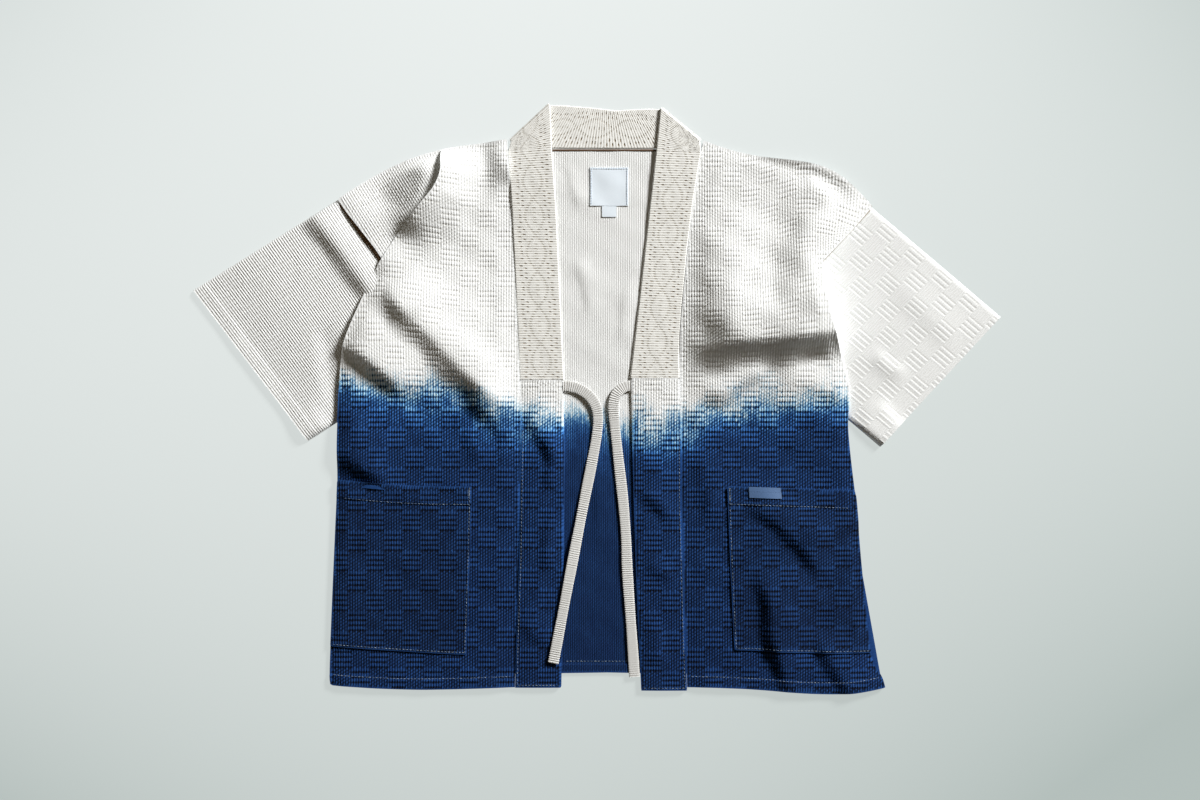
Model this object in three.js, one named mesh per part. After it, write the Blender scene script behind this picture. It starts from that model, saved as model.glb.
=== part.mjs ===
// A noragi, the short Japanese work jacket, laid out flat with its front open.
// Millimetres. +Z is up and +Y points to the collar. Left and right are as seen from above.
// The origin is on the surface that it lies on, under the middle of its outline.
// Every cut piece is a closed wall of cloth; where two are sewn together they stay a seam apart.

import * as THREE from 'three';

// ---------- driving dimensions ----------

const CLOTH = 1.5;            // thickness of one layer
const FOLDED = 3;             // collar, bands and ties are cloth folded double
const LABEL = 1;              // woven tape of labels and tabs
const SEAM = 0.3;             // air between two pieces that are sewn or lie together
const SLEEVE_HEIGHT = 6;      // a flattened sleeve: two layers and the air between them
const HEM_RAISE = 1.1;        // a hem is turned under, so it stands higher
const EDGE_ROLL = 16;         // how far in from its edge the cloth still curves down
const ROW_STEP = 17;          // grid of the large panels
const POCKET_SHARE = 0.264;   // the pocket's inner edge, as a share of the front's width
const COLUMNS_BESIDE_POCKET = 4;
const COLUMNS_UNDER_POCKET = 12;

const DYED = 0x1c3a70;
const CREAM = 0xe9e5dc;
const COLLAR_CREAM = 0xdfd8ca;
const LABEL_BLUE = 0xdce8f2;
const TAB_BLUE = 0x3f5f90;

// Where front and collar, or front and band, are sewn together: x at each y.
const SEAM_LINE_LEFT = [
  { y: -360, x: -98.5 }, { y: -292, x: -97 }, { y: -194, x: -93.5 }, { y: -38, x: -91 },
  { y: 22, x: -92.5 }, { y: 70, x: -94.5 }, { y: 130, x: -97.5 }, { y: 181, x: -100 },
  { y: 240, x: -103 }, { y: 302, x: -107 }, { y: 320, x: -108 },
];
const SEAM_LINE_RIGHT = [
  { y: -360, x: 108.5 }, { y: -292, x: 105.6 }, { y: -122, x: 101 }, { y: -40, x: 101 },
  { y: 22, x: 99.2 }, { y: 50, x: 98.7 }, { y: 80, x: 99.6 }, { y: 113, x: 102 }, { y: 181, x: 108.5 },
  { y: 238, x: 115.5 }, { y: 299, x: 125.5 }, { y: 320, x: 129.2 },
];

// Rows of a front, from hem to shoulder. Each starts on the seam line at seam_y and ends on the side
// edge; bow lifts its middle. At the notch the side edge turns from the fold that lies over the
// sleeve into the armhole seam.
const FRONT_ROWS_LEFT = [
  { name: 'hem', seam_y: -346.5, side_x: -320, side_y: -344, bow: -4 },
  { name: 'hem_top', seam_y: -333.5, side_x: -321, side_y: -331, bow: -4 },
  { name: 'pocket_foot', seam_y: -310, side_x: -320, side_y: -297, bow: -1 },
  { name: 'thigh', seam_y: -205, side_x: -316, side_y: -200, bow: 0 },
  { name: 'tab_foot', seam_y: -118, side_x: -312, side_y: -110, bow: -4 },
  { name: 'pocket_mouth', seam_y: -105, side_x: -311.5, side_y: -97, bow: -4 },
  { name: 'hip', seam_y: -36, side_x: -311, side_y: -34, bow: 0 },
  { name: 'waist', seam_y: 12, side_x: -309, side_y: 14, bow: 0 },
  { name: 'ribs', seam_y: 62, side_x: -304, side_y: 62, bow: 0 },
  { name: 'chest', seam_y: 112, side_x: -285, side_y: 112, bow: 0 },
  { name: 'notch', seam_y: 172, side_x: -260, side_y: 163.5, bow: 2, corner: true },
  { name: 'armhole', seam_y: 240, side_x: -286, side_y: 202, bow: 8 },
  { name: 'shoulder', seam_y: 311, side_x: -310.7, side_y: 239, bow: 18, corner: true },
];
const FRONT_ROWS_RIGHT = [
  { name: 'hem', seam_y: -346.5, side_x: 346, side_y: -347, bow: -7.9 },
  { name: 'hem_top', seam_y: -333.5, side_x: 342, side_y: -334, bow: -7 },
  { name: 'pocket_foot', seam_y: -300, side_x: 329, side_y: -305, bow: -1 },
  { name: 'thigh', seam_y: -207, side_x: 318, side_y: -206, bow: 0 },
  { name: 'tab_foot', seam_y: -116, side_x: 311, side_y: -123, bow: 0 },
  { name: 'pocket_mouth', seam_y: -103, side_x: 309, side_y: -110, bow: 0 },
  { name: 'hip', seam_y: -36, side_x: 301, side_y: -38, bow: 0 },
  { name: 'waist', seam_y: 12, side_x: 302, side_y: 8, bow: 0 },
  { name: 'ribs', seam_y: 62, side_x: 291, side_y: 54, bow: 0 },
  { name: 'chest', seam_y: 112, side_x: 274, side_y: 108, bow: 0 },
  { name: 'notch', seam_y: 172, side_x: 268, side_y: 163, bow: 2, corner: true },
  { name: 'armhole', seam_y: 240, side_x: 303, side_y: 199.5, bow: 13 },
  { name: 'shoulder', seam_y: 310, side_x: 329.6, side_y: 229.5, bow: 25, corner: true },
];
// Where along a row its bow is highest, as a share of the way to the side.
const BOW_PEAK = { left: 0.55, right: 0.72 };

// The back, under the fronts. Its armhole follows the sleeve down to the underarm.
const BACK_ROWS = [
  { name: 'hem', left_x: -318, left_y: -338, right_x: 342, right_y: -341, rise: 9 },
  { name: 'thigh', left_x: -316, left_y: -205, right_x: 318, right_y: -206, rise: 0 },
  { name: 'pocket_mouth', left_x: -311, left_y: -97, right_x: 308, right_y: -110, rise: 0 },
  { name: 'side_top', left_x: -310, left_y: -28, right_x: 300, right_y: -31, rise: 0, corner: true },
  { name: 'underarm', left_x: -184.9, left_y: 51, right_x: 184.2, right_y: 71.8, rise: 0, corner: true },
  { name: 'armhole', left_x: -247.8, left_y: 145.8, right_x: 256.8, right_y: 150.6, rise: 0.4 },
  { name: 'shoulder', left_x: -310.4, left_y: 239.2, right_x: 329.2, right_y: 229.4, rise: 1, corner: true },
];
const NECKLINE_Y = 299.6;
const NECK_CORNER = { left: -104, right: 124 };
const BACK_COLUMNS = 18;
const BACK_ROW_STEP = 36;

// A sleeve is a straight flat tube from the armhole to the cuff: top edge and lower edge of each end.
const SLEEVES = {
  left: { armhole_top: [-311, 238.6], armhole_low: [-186, 51.6], cuff_top: [-484.8, 130], cuff_low: [-347, -51] },
  right: { armhole_top: [330, 229], armhole_low: [185.2, 72.6], cuff_top: [484.8, 98], cuff_low: [340, -58] },
};
const SLEEVE_RINGS = 9;
const SLEEVE_COLUMNS = 10;
const SLEEVE_EDGE = 7;        // how far in from its long edges a sleeve is rounded
const ROUND_STEPS = 3;

// Large folds. Each has a crest that runs from start to end and leans towards bend; height above
// the cloth around it; reach to the left and to the right of that way.
const FOLDS_LEFT = [
  { name: 'chest', start: [-250, 152], bend: [-186, 78], end: [-88, -6], height: 13, left: 46, right: 14 },
  { name: 'over_sleeve', start: [-318, 88], bend: [-262, 44], end: [-206, 2], height: 9, left: 36, right: 12 },
  { name: 'armhole', start: [-262, 132], bend: [-246, 206], end: [-176, 300], height: 12, left: 8, right: 46 },
  { name: 'side', start: [-262, 176], bend: [-306, 96], end: [-310, 20], height: 7, left: 40, right: 10 },
  { name: 'neck', start: [-112, 318], bend: [-108, 284], end: [-102, 236], height: 5, left: 26, right: 9 },
  { name: 'pocket', start: [-326, -56], bend: [-284, -78], end: [-246, -108], height: 5, left: 26, right: 10 },
  { name: 'dye_line', start: [-168, -2], bend: [-126, -36], end: [-84, -66], height: 5, left: 24, right: 9 },
  { name: 'front', start: [-116, -28], bend: [-104, -90], end: [-108, -168], height: 3.5, left: 10, right: 8 },
];
const FOLDS_RIGHT = [
  { name: 'chest', start: [84, 60], bend: [190, 84], end: [312, 86], height: 17, left: 52, right: 15 },
  { name: 'armhole', start: [284, 62], bend: [256, 172], end: [266, 286], height: 11, left: 44, right: 9 },
  { name: 'shoulder_edge', start: [196, 300], bend: [276, 284], end: [326, 236], height: 6, left: 16, right: 8 },
  { name: 'point', start: [240, 262], bend: [268, 262], end: [286, 226], height: 8, left: 16, right: 16 },
  { name: 'collar', start: [126, 300], bend: [142, 190], end: [124, 60], height: 7, left: 40, right: 13 },
  { name: 'small', start: [156, 12], bend: [196, 44], end: [232, 50], height: 4, left: 12, right: 12 },
  { name: 'waist', start: [206, 20], bend: [256, 20], end: [310, -4], height: 5, left: 20, right: 12 },
  { name: 'pocket', start: [188, -196], bend: [206, -252], end: [236, -362], height: 5.5, left: 22, right: 9 },
  { name: 'mouth', start: [176, -122], bend: [220, -146], end: [270, -164], height: 4, left: 20, right: 9 },
  { name: 'side', start: [262, -176], bend: [292, -152], end: [326, -124], height: 4.5, left: 12, right: 18 },
  { name: 'corner', start: [296, -236], bend: [312, -296], end: [340, -362], height: 4.5, left: 18, right: 10 },
];
const PUFF = 3;               // the air under the middle of a front
const FOLD_SHARE_AT_EDGE = 0.5;

// The collar's edges: its free edge, and its seam edge where it isn't on a seam line.
const COLLAR_LEFT = [
  { name: 'foot', free: [-39.5, 22.8], seam_y: 22.8 },
  { name: 'chest', free: [-44, 120], seam_y: 120 },
  { name: 'upper', free: [-49, 231], seam_y: 231 },
  { name: 'neck', free: [-54, 300], seam_y: 296 },
];
const COLLAR_RIGHT = [
  { name: 'neck', free: [71, 298], seam_y: 296 },
  { name: 'upper', free: [61.5, 214], seam_y: 214 },
  { name: 'chest', free: [51, 120], seam_y: 118 },
  { name: 'foot', free: [39.5, 24.8], seam_y: 24.8 },
];
const COLLAR_FOLD_LEFT = { free: [-56, 352.3], seam: [-103.4, 308.4], out: [-0.68, 0.73] };
const COLLAR_FOLD_RIGHT = { free: [76, 347.6], seam: [123.6, 308.6], out: [0.62, 0.78] };
const COLLAR_STRIP = [
  { name: 'left', free: [-38, 352], seam: [-82, 300.4] },
  { name: 'left_centre', free: [-8, 349.5], seam: [-30, 300] },
  { name: 'centre', free: [22, 346], seam: [14, 300] },
  { name: 'right_centre', free: [48, 347.5], seam: [62, 300] },
  { name: 'right', free: [66, 348], seam: [104, 300.4] },
];
const COLLAR_ACROSS = 4;
const COLLAR_STEP = 14;
const FOLD_STEPS = 5;
const STRAP_RISES_FROM = 180; // above this y the collar climbs over its own strip
const STRAP_RISES_TO = 285;

// The bands' free edges.
const BAND_EDGE_LEFT = [
  { y: -360, x: -43 }, { y: -292, x: -42 }, { y: -194, x: -40 }, { y: -62, x: -38.5 }, { y: 4, x: -41 },
  { y: 30, x: -41 },
];
const BAND_EDGE_RIGHT = [
  { y: -360, x: 53.5 }, { y: -240, x: 48 }, { y: -136, x: 44.4 }, { y: -32, x: 42 }, { y: 4, x: 41.3 },
  { y: 30, x: 41.3 },
];
const BANDS = {
  left: { foot_y: -347, head_y: 22.5, waves: 1.2 },
  right: { foot_y: -350.5, head_y: 24.5, waves: 1.2 },
};
const BAND_ACROSS = 3;
const BAND_ROWS = 22;

// The ties, from the seam between collar and band to their free ends.
const TIE_WIDTH = 13;
const TIE_LEFT = [
  [-40.7, 15, 3.5], [-35, 14.8, 3.5], [-25, 12.8, 3.8], [-14, 7, 4.2], [-5.4, -1.6, 4.6],
  [-0.4, -12, 4.6], [1.2, -24, 4.2],
  [0, -42, 3.6], [-6, -76, 3.4], [-15.5, -124, 3.6], [-24, -168, 5], [-30.2, -200, 6.9],
  [-34.2, -221, 7.5], [-40.5, -254, 7.8], [-45, -278, 7.9], [-52.5, -317, 7.9],
];
const TIE_RIGHT = [
  [40.7, 15, 3.5], [36, 14.8, 3.5], [28.4, 11, 3.9], [22.8, 4, 4.4], [20, -6, 4.6], [20.2, -20, 4.2],
  [22, -38, 3.8], [26, -76, 3.5], [31, -120, 3.5], [34.6, -164, 3.5], [36.4, -208, 3.5],
  [39.4, -252, 3.5], [42.4, -294, 3.5], [45, -334, 3.5],
];
const TIE_STEPS = 26;

const NECK_LABEL = { x: 14.5, y: 254.5, width: 46, height: 46 };
const SIZE_TAB = { x: 14.5, y: 224.5, width: 17, height: 13 };
const TAB_COLUMNS = { from: 6, to: 9 };   // columns of the right front that the pocket tab covers

// ---------- small helpers ----------

// 0 at from, 1 at to and an easy curve between; from may be the larger one.
function smooth(from, to, value) {
  const share = THREE.MathUtils.clamp((value - from) / (to - from), 0, 1);
  return share * share * (3 - 2 * share);
}

// A smooth curve through the values of one column of a table; a row marked corner stays sharp.
function along(rows, place, column) {
  const index = Math.min(Math.floor(place), rows.length - 2);
  const share = place - index;
  const here = rows[index][column];
  const next = rows[index + 1][column];
  const before = index > 0 && !rows[index].corner ? rows[index - 1][column] : 2 * here - next;
  const after = index + 2 < rows.length && !rows[index + 1].corner ? rows[index + 2][column] : 2 * next - here;
  const slope0 = (next - before) / 2;
  const slope1 = (after - here) / 2;
  const square = share * share;
  const cube = square * share;
  return (2 * here - 2 * next + slope0 + slope1) * cube
    + (3 * next - 3 * here - 2 * slope0 - slope1) * square + slope0 * share + here;
}

// x on a line given as a table of y and x, straight between its rows.
function lineX(table, y) {
  const next = Math.max(1, table.findIndex((row) => row.y >= y));
  const low = table[next - 1];
  const high = table[next];
  return low.x + (high.x - low.x) * (y - low.y) / (high.y - low.y);
}

// Places along a table of rows, each stretch divided into steps of about the same length.
function placesAlong(rows, lengthOf, step) {
  const places = [0];
  for (let index = 0; index < rows.length - 1; index += 1) {
    const count = Math.max(1, Math.round(lengthOf(rows[index], rows[index + 1]) / step));
    for (let part = 1; part <= count; part += 1) places.push(index + part / count);
  }
  return places;
}

// A closed wall from two grids of points of the same size, the outer one on top.
function wall(top, bottom) {
  const rows = top.length;
  const columns = top[0].length;
  const points = [...top.flat(), ...bottom.flat()];
  const positions = new Float32Array(points.flat());
  const over = (row, column) => row * columns + column;
  const under = (row, column) => rows * columns + over(row, column);
  const faces = [];
  const quad = (a, b, c, d) => faces.push(a, b, c, a, c, d);
  for (let row = 0; row < rows - 1; row += 1) {
    for (let column = 0; column < columns - 1; column += 1) {
      quad(over(row, column), over(row, column + 1), over(row + 1, column + 1), over(row + 1, column));
      quad(under(row, column), under(row + 1, column), under(row + 1, column + 1), under(row, column + 1));
    }
  }
  for (let column = 0; column < columns - 1; column += 1) {
    quad(under(0, column), under(0, column + 1), over(0, column + 1), over(0, column));
    const last = rows - 1;
    quad(over(last, column), over(last, column + 1), under(last, column + 1), under(last, column));
  }
  for (let row = 0; row < rows - 1; row += 1) {
    quad(over(row, 0), over(row + 1, 0), under(row + 1, 0), under(row, 0));
    const last = columns - 1;
    quad(under(row, last), under(row + 1, last), over(row + 1, last), over(row, last));
  }
  const geometry = new THREE.BufferGeometry();
  geometry.setAttribute('position', new THREE.BufferAttribute(positions, 3));
  geometry.setIndex(faces);
  return geometry;
}

// A grid that runs the other way round, for pieces on the side where x falls from column to column.
const mirrored = (grid) => grid.map((row) => [...row].reverse());

function cloth(name, geometry, colour, roughness = 0.9) {
  geometry.computeVertexNormals();
  const mesh = new THREE.Mesh(geometry, new THREE.MeshStandardMaterial({ color: colour, roughness, metalness: 0 }));
  mesh.name = name;
  return mesh;
}

// ---------- the heights of a front ----------

// Height that one fold adds at a place.
function foldHeight(fold, x, y) {
  const crest = new THREE.QuadraticBezierCurve(
    new THREE.Vector2(...fold.start), new THREE.Vector2(...fold.bend), new THREE.Vector2(...fold.end));
  const pieces = 14;
  let nearest = { distance: Infinity, side: 1, share: 0 };
  for (let piece = 0; piece < pieces; piece += 1) {
    const from = crest.getPoint(piece / pieces);
    const way = crest.getPoint((piece + 1) / pieces).sub(from);
    const offset = new THREE.Vector2(x, y).sub(from);
    const part = THREE.MathUtils.clamp(offset.dot(way) / way.lengthSq(), 0, 1);
    const distance = offset.clone().addScaledVector(way, -part).length();
    if (distance < nearest.distance) {
      nearest = { distance, side: way.cross(offset), share: (piece + part) / pieces };
    }
  }
  const reach = nearest.side > 0 ? fold.left : fold.right;
  const taper = smooth(0, 0.28, nearest.share) * smooth(0, 0.28, 1 - nearest.share);
  return fold.height * taper * Math.exp(-((nearest.distance / reach) ** 2));
}

// The height of what lies under a front: the back, or a sleeve that reaches under the fold.
function support(sleeve, x, y) {
  const top = new THREE.Vector2(...sleeve.armhole_top);
  const low = new THREE.Vector2(...sleeve.armhole_low);
  const across = low.clone().sub(top);
  const width = across.length();
  across.divideScalar(width);
  const outward = new THREE.Vector2(...sleeve.cuff_low).sub(low).normalize();
  const offset = new THREE.Vector2(x, y).sub(top);
  const scale = across.cross(outward);
  const out = across.cross(offset) / scale;
  const down = offset.cross(outward) / scale;
  const share = smooth(-34, -4, out) * smooth(width + 26, width + 3, down);
  return CLOTH + (SLEEVE_HEIGHT - CLOTH) * share;
}

// One front: its grid of places, the height over each, and the wall made from them.
function makeFront({ rows, seamLine, peak, folds, sleeve, toSide }) {
  const lengthOf = (low, high) => ((high.seam_y - low.seam_y)
    + Math.hypot(high.side_x - low.side_x, high.side_y - low.side_y)) / 2;
  const places = placesAlong(rows, lengthOf, ROW_STEP);
  const power = Math.log(0.5) / Math.log(peak);
  const shares = [];
  for (let column = 0; column <= COLUMNS_BESIDE_POCKET; column += 1) {
    shares.push(POCKET_SHARE * column / COLUMNS_BESIDE_POCKET);
  }
  for (let column = 1; column <= COLUMNS_UNDER_POCKET; column += 1) {
    shares.push(POCKET_SHARE + (1 - POCKET_SHARE) * column / COLUMNS_UNDER_POCKET);
  }
  const plan = places.map((place) => shares.map((share) => {
    const seamY = along(rows, place, 'seam_y');
    const seamX = lineX(seamLine, seamY) + toSide * SEAM;
    const lift = along(rows, place, 'bow') * Math.sin(Math.PI * share ** power);
    return [
      THREE.MathUtils.lerp(seamX, along(rows, place, 'side_x'), share),
      THREE.MathUtils.lerp(seamY, along(rows, place, 'side_y'), share) + lift,
    ];
  }));

  const edge = [...plan.map((row) => row[row.length - 1]), ...plan[plan.length - 1]];
  const fromEdge = (x, y) => Math.min(...edge.map((point) => Math.hypot(x - point[0], y - point[1])));
  const height = (x, y, seamShare, hemShare) => {
    const rise = smooth(0, EDGE_ROLL, fromEdge(x, y));
    const folded = folds.reduce((sum, fold) => sum + foldHeight(fold, x, y), 0);
    const free = smooth(0, 0.12, seamShare);
    const share = THREE.MathUtils.lerp(FOLD_SHARE_AT_EDGE, 1, rise) * THREE.MathUtils.lerp(0.25, 1, free);
    return support(sleeve, x, y) + SEAM + CLOTH + HEM_RAISE * hemShare + PUFF * rise * free + folded * share;
  };
  const heights = plan.map((row, line) => row.map(([x, y], column) => {
    const overHem = places[line] <= 1 ? 1 : 0;
    return height(x, y, shares[column], overHem);
  }));
  // How much thicker a sloping wall is when it is measured straight down.
  const slant = heights.map((row, line) => row.map((z, column) => {
    const left = Math.max(column - 1, 0);
    const right = Math.min(column + 1, row.length - 1);
    const low = Math.max(line - 1, 0);
    const high = Math.min(line + 1, heights.length - 1);
    const run = Math.hypot(plan[line][right][0] - plan[line][left][0], plan[line][right][1] - plan[line][left][1]);
    const climb = Math.hypot(plan[high][column][0] - plan[low][column][0], plan[high][column][1] - plan[low][column][1]);
    return Math.hypot(1, (row[right] - row[left]) / run, (heights[high][column] - heights[low][column]) / climb);
  }));
  const raised = (amount) => plan.map((row, line) => row.map(([x, y], column) => (
    [x, y, heights[line][column] + amount * slant[line][column]])));
  return { rows, places, plan, raised, toSide };
}

function layer(front, from, to, rowRange, columnRange) {
  const cut = (grid) => grid.slice(rowRange[0], rowRange[1] + 1)
    .map((row) => row.slice(columnRange[0], columnRange[1] + 1));
  const top = cut(front.raised(to));
  const bottom = cut(front.raised(from));
  return front.toSide > 0 ? wall(top, bottom) : wall(mirrored(top), mirrored(bottom));
}

const rowAt = (front, name) => front.places.indexOf(front.rows.findIndex((row) => row.name === name));

function frontWall(front) {
  return layer(front, -CLOTH, 0, [0, front.plan.length - 1], [0, front.plan[0].length - 1]);
}

function pocketWall(front) {
  const lines = [rowAt(front, 'pocket_foot'), rowAt(front, 'pocket_mouth')];
  return layer(front, SEAM, SEAM + CLOTH, lines, [COLUMNS_BESIDE_POCKET, front.plan[0].length - 1]);
}

function pocketTab(front) {
  const lines = [rowAt(front, 'tab_foot'), rowAt(front, 'pocket_mouth')];
  const base = 2 * SEAM + CLOTH;
  return layer(front, base, base + LABEL, lines, [TAB_COLUMNS.from, TAB_COLUMNS.to]);
}

// ---------- the back ----------

// The back: its top edge follows the shoulder lines of the fronts and the straight neckline.
function backWall(left, right) {
  const shoulderLeft = [...left.plan[left.plan.length - 1]].reverse();
  const shoulderRight = right.plan[right.plan.length - 1];
  const shoulders = [...shoulderLeft, ...shoulderRight].map(([x, y]) => ({ y: x, x: y }));
  const topY = (x) => {
    const overNeck = smooth(NECK_CORNER.left - 26, NECK_CORNER.left, x)
      * smooth(NECK_CORNER.right + 26, NECK_CORNER.right, x);
    return THREE.MathUtils.lerp(lineX(shoulders, x), NECKLINE_Y, overNeck);
  };
  const lengthOf = (low, high) => Math.hypot(high.left_x - low.left_x, high.left_y - low.left_y);
  const places = placesAlong(BACK_ROWS, lengthOf, BACK_ROW_STEP);
  const shoulder = BACK_ROWS.findIndex((row) => row.name === 'shoulder');
  const underarm = BACK_ROWS.findIndex((row) => row.name === 'underarm');
  const grid = (z) => places.map((place) => {
    const from = [along(BACK_ROWS, place, 'left_x'), along(BACK_ROWS, place, 'left_y')];
    const to = [along(BACK_ROWS, place, 'right_x'), along(BACK_ROWS, place, 'right_y')];
    const lower = Math.max(0, 1 - place);
    const upper = Math.max(0, (place - underarm) / (shoulder - underarm));
    const line = [];
    for (let column = 0; column <= BACK_COLUMNS; column += 1) {
      const share = column / BACK_COLUMNS;
      const x = THREE.MathUtils.lerp(from[0], to[0], share);
      const straight = THREE.MathUtils.lerp(from[1], to[1], share);
      const topStraight = THREE.MathUtils.lerp(
        BACK_ROWS[shoulder].left_y, BACK_ROWS[shoulder].right_y,
        (x - BACK_ROWS[shoulder].left_x) / (BACK_ROWS[shoulder].right_x - BACK_ROWS[shoulder].left_x));
      const inside = column > 0 && column < BACK_COLUMNS ? 1 : 0;
      const hemLift = lower * BACK_ROWS[0].rise * Math.sin(Math.PI * share);
      const topLift = upper ** 2 * (topY(x) - topStraight - SEAM) * inside;
      line.push([x, straight + hemLift + topLift, z]);
    }
    return line;
  });
  return wall(grid(CLOTH), grid(0));
}

// ---------- a sleeve ----------

// One ring of a flattened tube: top from the first edge to the second, and back along the bottom.
function sleeveRing(first, second, inset) {
  const way = new THREE.Vector2(second[0] - first[0], second[1] - first[1]);
  const width = way.length();
  way.divideScalar(width);
  const stations = [];
  for (let step = 0; step <= ROUND_STEPS; step += 1) {
    const angle = (step / ROUND_STEPS) * (Math.PI / 2);
    stations.push({ at: (SLEEVE_EDGE - inset) * (1 - Math.cos(angle)), full: Math.sin(angle) });
  }
  const flat = width - 2 * SLEEVE_EDGE;
  for (let column = 1; column < SLEEVE_COLUMNS; column += 1) {
    stations.push({ at: SLEEVE_EDGE - inset + flat * column / SLEEVE_COLUMNS, full: 1 });
  }
  for (let step = ROUND_STEPS; step >= 0; step -= 1) {
    const angle = (step / ROUND_STEPS) * (Math.PI / 2);
    const at = width - 2 * inset - (SLEEVE_EDGE - inset) * (1 - Math.cos(angle));
    stations.push({ at, full: Math.sin(angle) });
  }
  const half = SLEEVE_HEIGHT / 2 - inset;
  const point = (station, up) => [
    first[0] + way.x * (station.at + inset),
    first[1] + way.y * (station.at + inset),
    SLEEVE_HEIGHT / 2 + up * half * station.full,
  ];
  const top = stations.map((station) => point(station, 1));
  const bottom = stations.slice(1, -1).reverse().map((station) => point(station, -1));
  return [...top, ...bottom];
}

function sleeveWall(sleeve) {
  const rings = (inset) => {
    const list = [];
    for (let ring = 0; ring < SLEEVE_RINGS; ring += 1) {
      const share = ring / (SLEEVE_RINGS - 1);
      const mix = (from, to) => [
        THREE.MathUtils.lerp(from[0], to[0], share), THREE.MathUtils.lerp(from[1], to[1], share)];
      list.push(sleeveRing(mix(sleeve.armhole_top, sleeve.cuff_top), mix(sleeve.armhole_low, sleeve.cuff_low), inset));
    }
    return list;
  };
  const outer = rings(0);
  const inner = rings(CLOTH);
  const around = outer[0].length;
  const points = [...outer.flat(), ...inner.flat()];
  const out = (ring, place) => ring * around + (place % around);
  const into = (ring, place) => SLEEVE_RINGS * around + out(ring, place);
  const faces = [];
  const quad = (a, b, c, d) => faces.push(a, b, c, a, c, d);
  for (let place = 0; place < around; place += 1) {
    for (let ring = 0; ring < SLEEVE_RINGS - 1; ring += 1) {
      quad(out(ring, place), out(ring, place + 1), out(ring + 1, place + 1), out(ring + 1, place));
      quad(into(ring, place), into(ring + 1, place), into(ring + 1, place + 1), into(ring, place + 1));
    }
    quad(into(0, place), into(0, place + 1), out(0, place + 1), out(0, place));
    const last = SLEEVE_RINGS - 1;
    quad(out(last, place), out(last, place + 1), into(last, place + 1), into(last, place));
  }
  const crossing = new THREE.Vector2(sleeve.armhole_low[0] - sleeve.armhole_top[0],
    sleeve.armhole_low[1] - sleeve.armhole_top[1]);
  const outward = new THREE.Vector2(sleeve.cuff_top[0] - sleeve.armhole_top[0],
    sleeve.cuff_top[1] - sleeve.armhole_top[1]);
  if (crossing.cross(outward) < 0) faces.reverse();
  const geometry = new THREE.BufferGeometry();
  geometry.setAttribute('position', new THREE.BufferAttribute(new Float32Array(points.flat()), 3));
  geometry.setIndex(faces);
  return geometry;
}

// ---------- collar, bands, ties and tapes ----------

// The collar as a ribbon: rows across it, each with its two edges, the height of its middle and
// the way its outer face looks.
function collarRows() {
  const rows = [];
  const flatRow = (free, seam, z, up) => rows.push({ free, seam, z, up: [0, 0, up] });
  const strapMiddle = CLOTH + SEAM + FOLDED / 2;
  const stripMiddle = FOLDED / 2;
  const overStrip = stripMiddle + FOLDED + 2 * SEAM;
  const strapHeight = (y) => THREE.MathUtils.lerp(strapMiddle, overStrip, smooth(STRAP_RISES_FROM, STRAP_RISES_TO, y));

  const strapRows = (table, seamLine, fold, startsAtFoot) => {
    const steps = [];
    for (let index = 0; index < table.length - 1; index += 1) {
      const low = table[index];
      const high = table[index + 1];
      const count = Math.round(Math.abs(high.free[1] - low.free[1]) / COLLAR_STEP);
      for (let step = 0; step < count; step += 1) {
        const share = step / count;
        const free = [0, 1].map((axis) => THREE.MathUtils.lerp(low.free[axis], high.free[axis], share));
        const seamY = THREE.MathUtils.lerp(low.seam_y, high.seam_y, share);
        steps.push({ free, seam: [lineX(seamLine, seamY), seamY] });
      }
    }
    const last = table[table.length - 1];
    steps.push({ free: last.free, seam: [lineX(seamLine, last.seam_y), last.seam_y] });
    const neck = startsAtFoot ? steps[steps.length - 1] : steps[0];
    const turning = [];
    for (let step = 1; step < FOLD_STEPS; step += 1) {
      const share = step / FOLD_STEPS;
      const mix = (from, to) => [0, 1].map((axis) => THREE.MathUtils.lerp(from[axis], to[axis], share));
      turning.push({ free: mix(neck.free, fold.free), seam: mix(neck.seam, fold.seam) });
    }
    const ordered = startsAtFoot ? [...steps, ...turning] : [...turning.reverse(), ...steps];
    ordered.forEach(({ free, seam }) => flatRow(free, seam, strapHeight((free[1] + seam[1]) / 2), 1));
  };
  const foldRows = (fold, overFirst) => {
    const radius = (overStrip - stripMiddle) / 2;
    const middle = stripMiddle + radius;
    for (let step = 0; step <= FOLD_STEPS; step += 1) {
      const angle = Math.PI * (overFirst ? step : FOLD_STEPS - step) / FOLD_STEPS;
      const push = Math.sin(angle);
      const shift = (point) => [point[0] + fold.out[0] * radius * push, point[1] + fold.out[1] * radius * push];
      rows.push({
        free: shift(fold.free), seam: shift(fold.seam), z: middle + radius * Math.cos(angle),
        up: [fold.out[0] * push, fold.out[1] * push, Math.cos(angle)],
      });
    }
  };

  strapRows(COLLAR_LEFT, SEAM_LINE_LEFT, COLLAR_FOLD_LEFT, true);
  foldRows(COLLAR_FOLD_LEFT, true);
  const strip = [COLLAR_FOLD_LEFT, ...COLLAR_STRIP, COLLAR_FOLD_RIGHT];
  for (let index = 0; index < strip.length - 1; index += 1) {
    const count = 2;
    for (let step = index === 0 ? 1 : 0; step < count; step += 1) {
      const share = step / count;
      const mix = (edge) => [0, 1].map((axis) => (
        THREE.MathUtils.lerp(strip[index][edge][axis], strip[index + 1][edge][axis], share)));
      flatRow(mix('free'), mix('seam'), stripMiddle, -1);
    }
  }
  foldRows(COLLAR_FOLD_RIGHT, false);
  strapRows(COLLAR_RIGHT, SEAM_LINE_RIGHT, COLLAR_FOLD_RIGHT, false);
  return rows;
}

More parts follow.
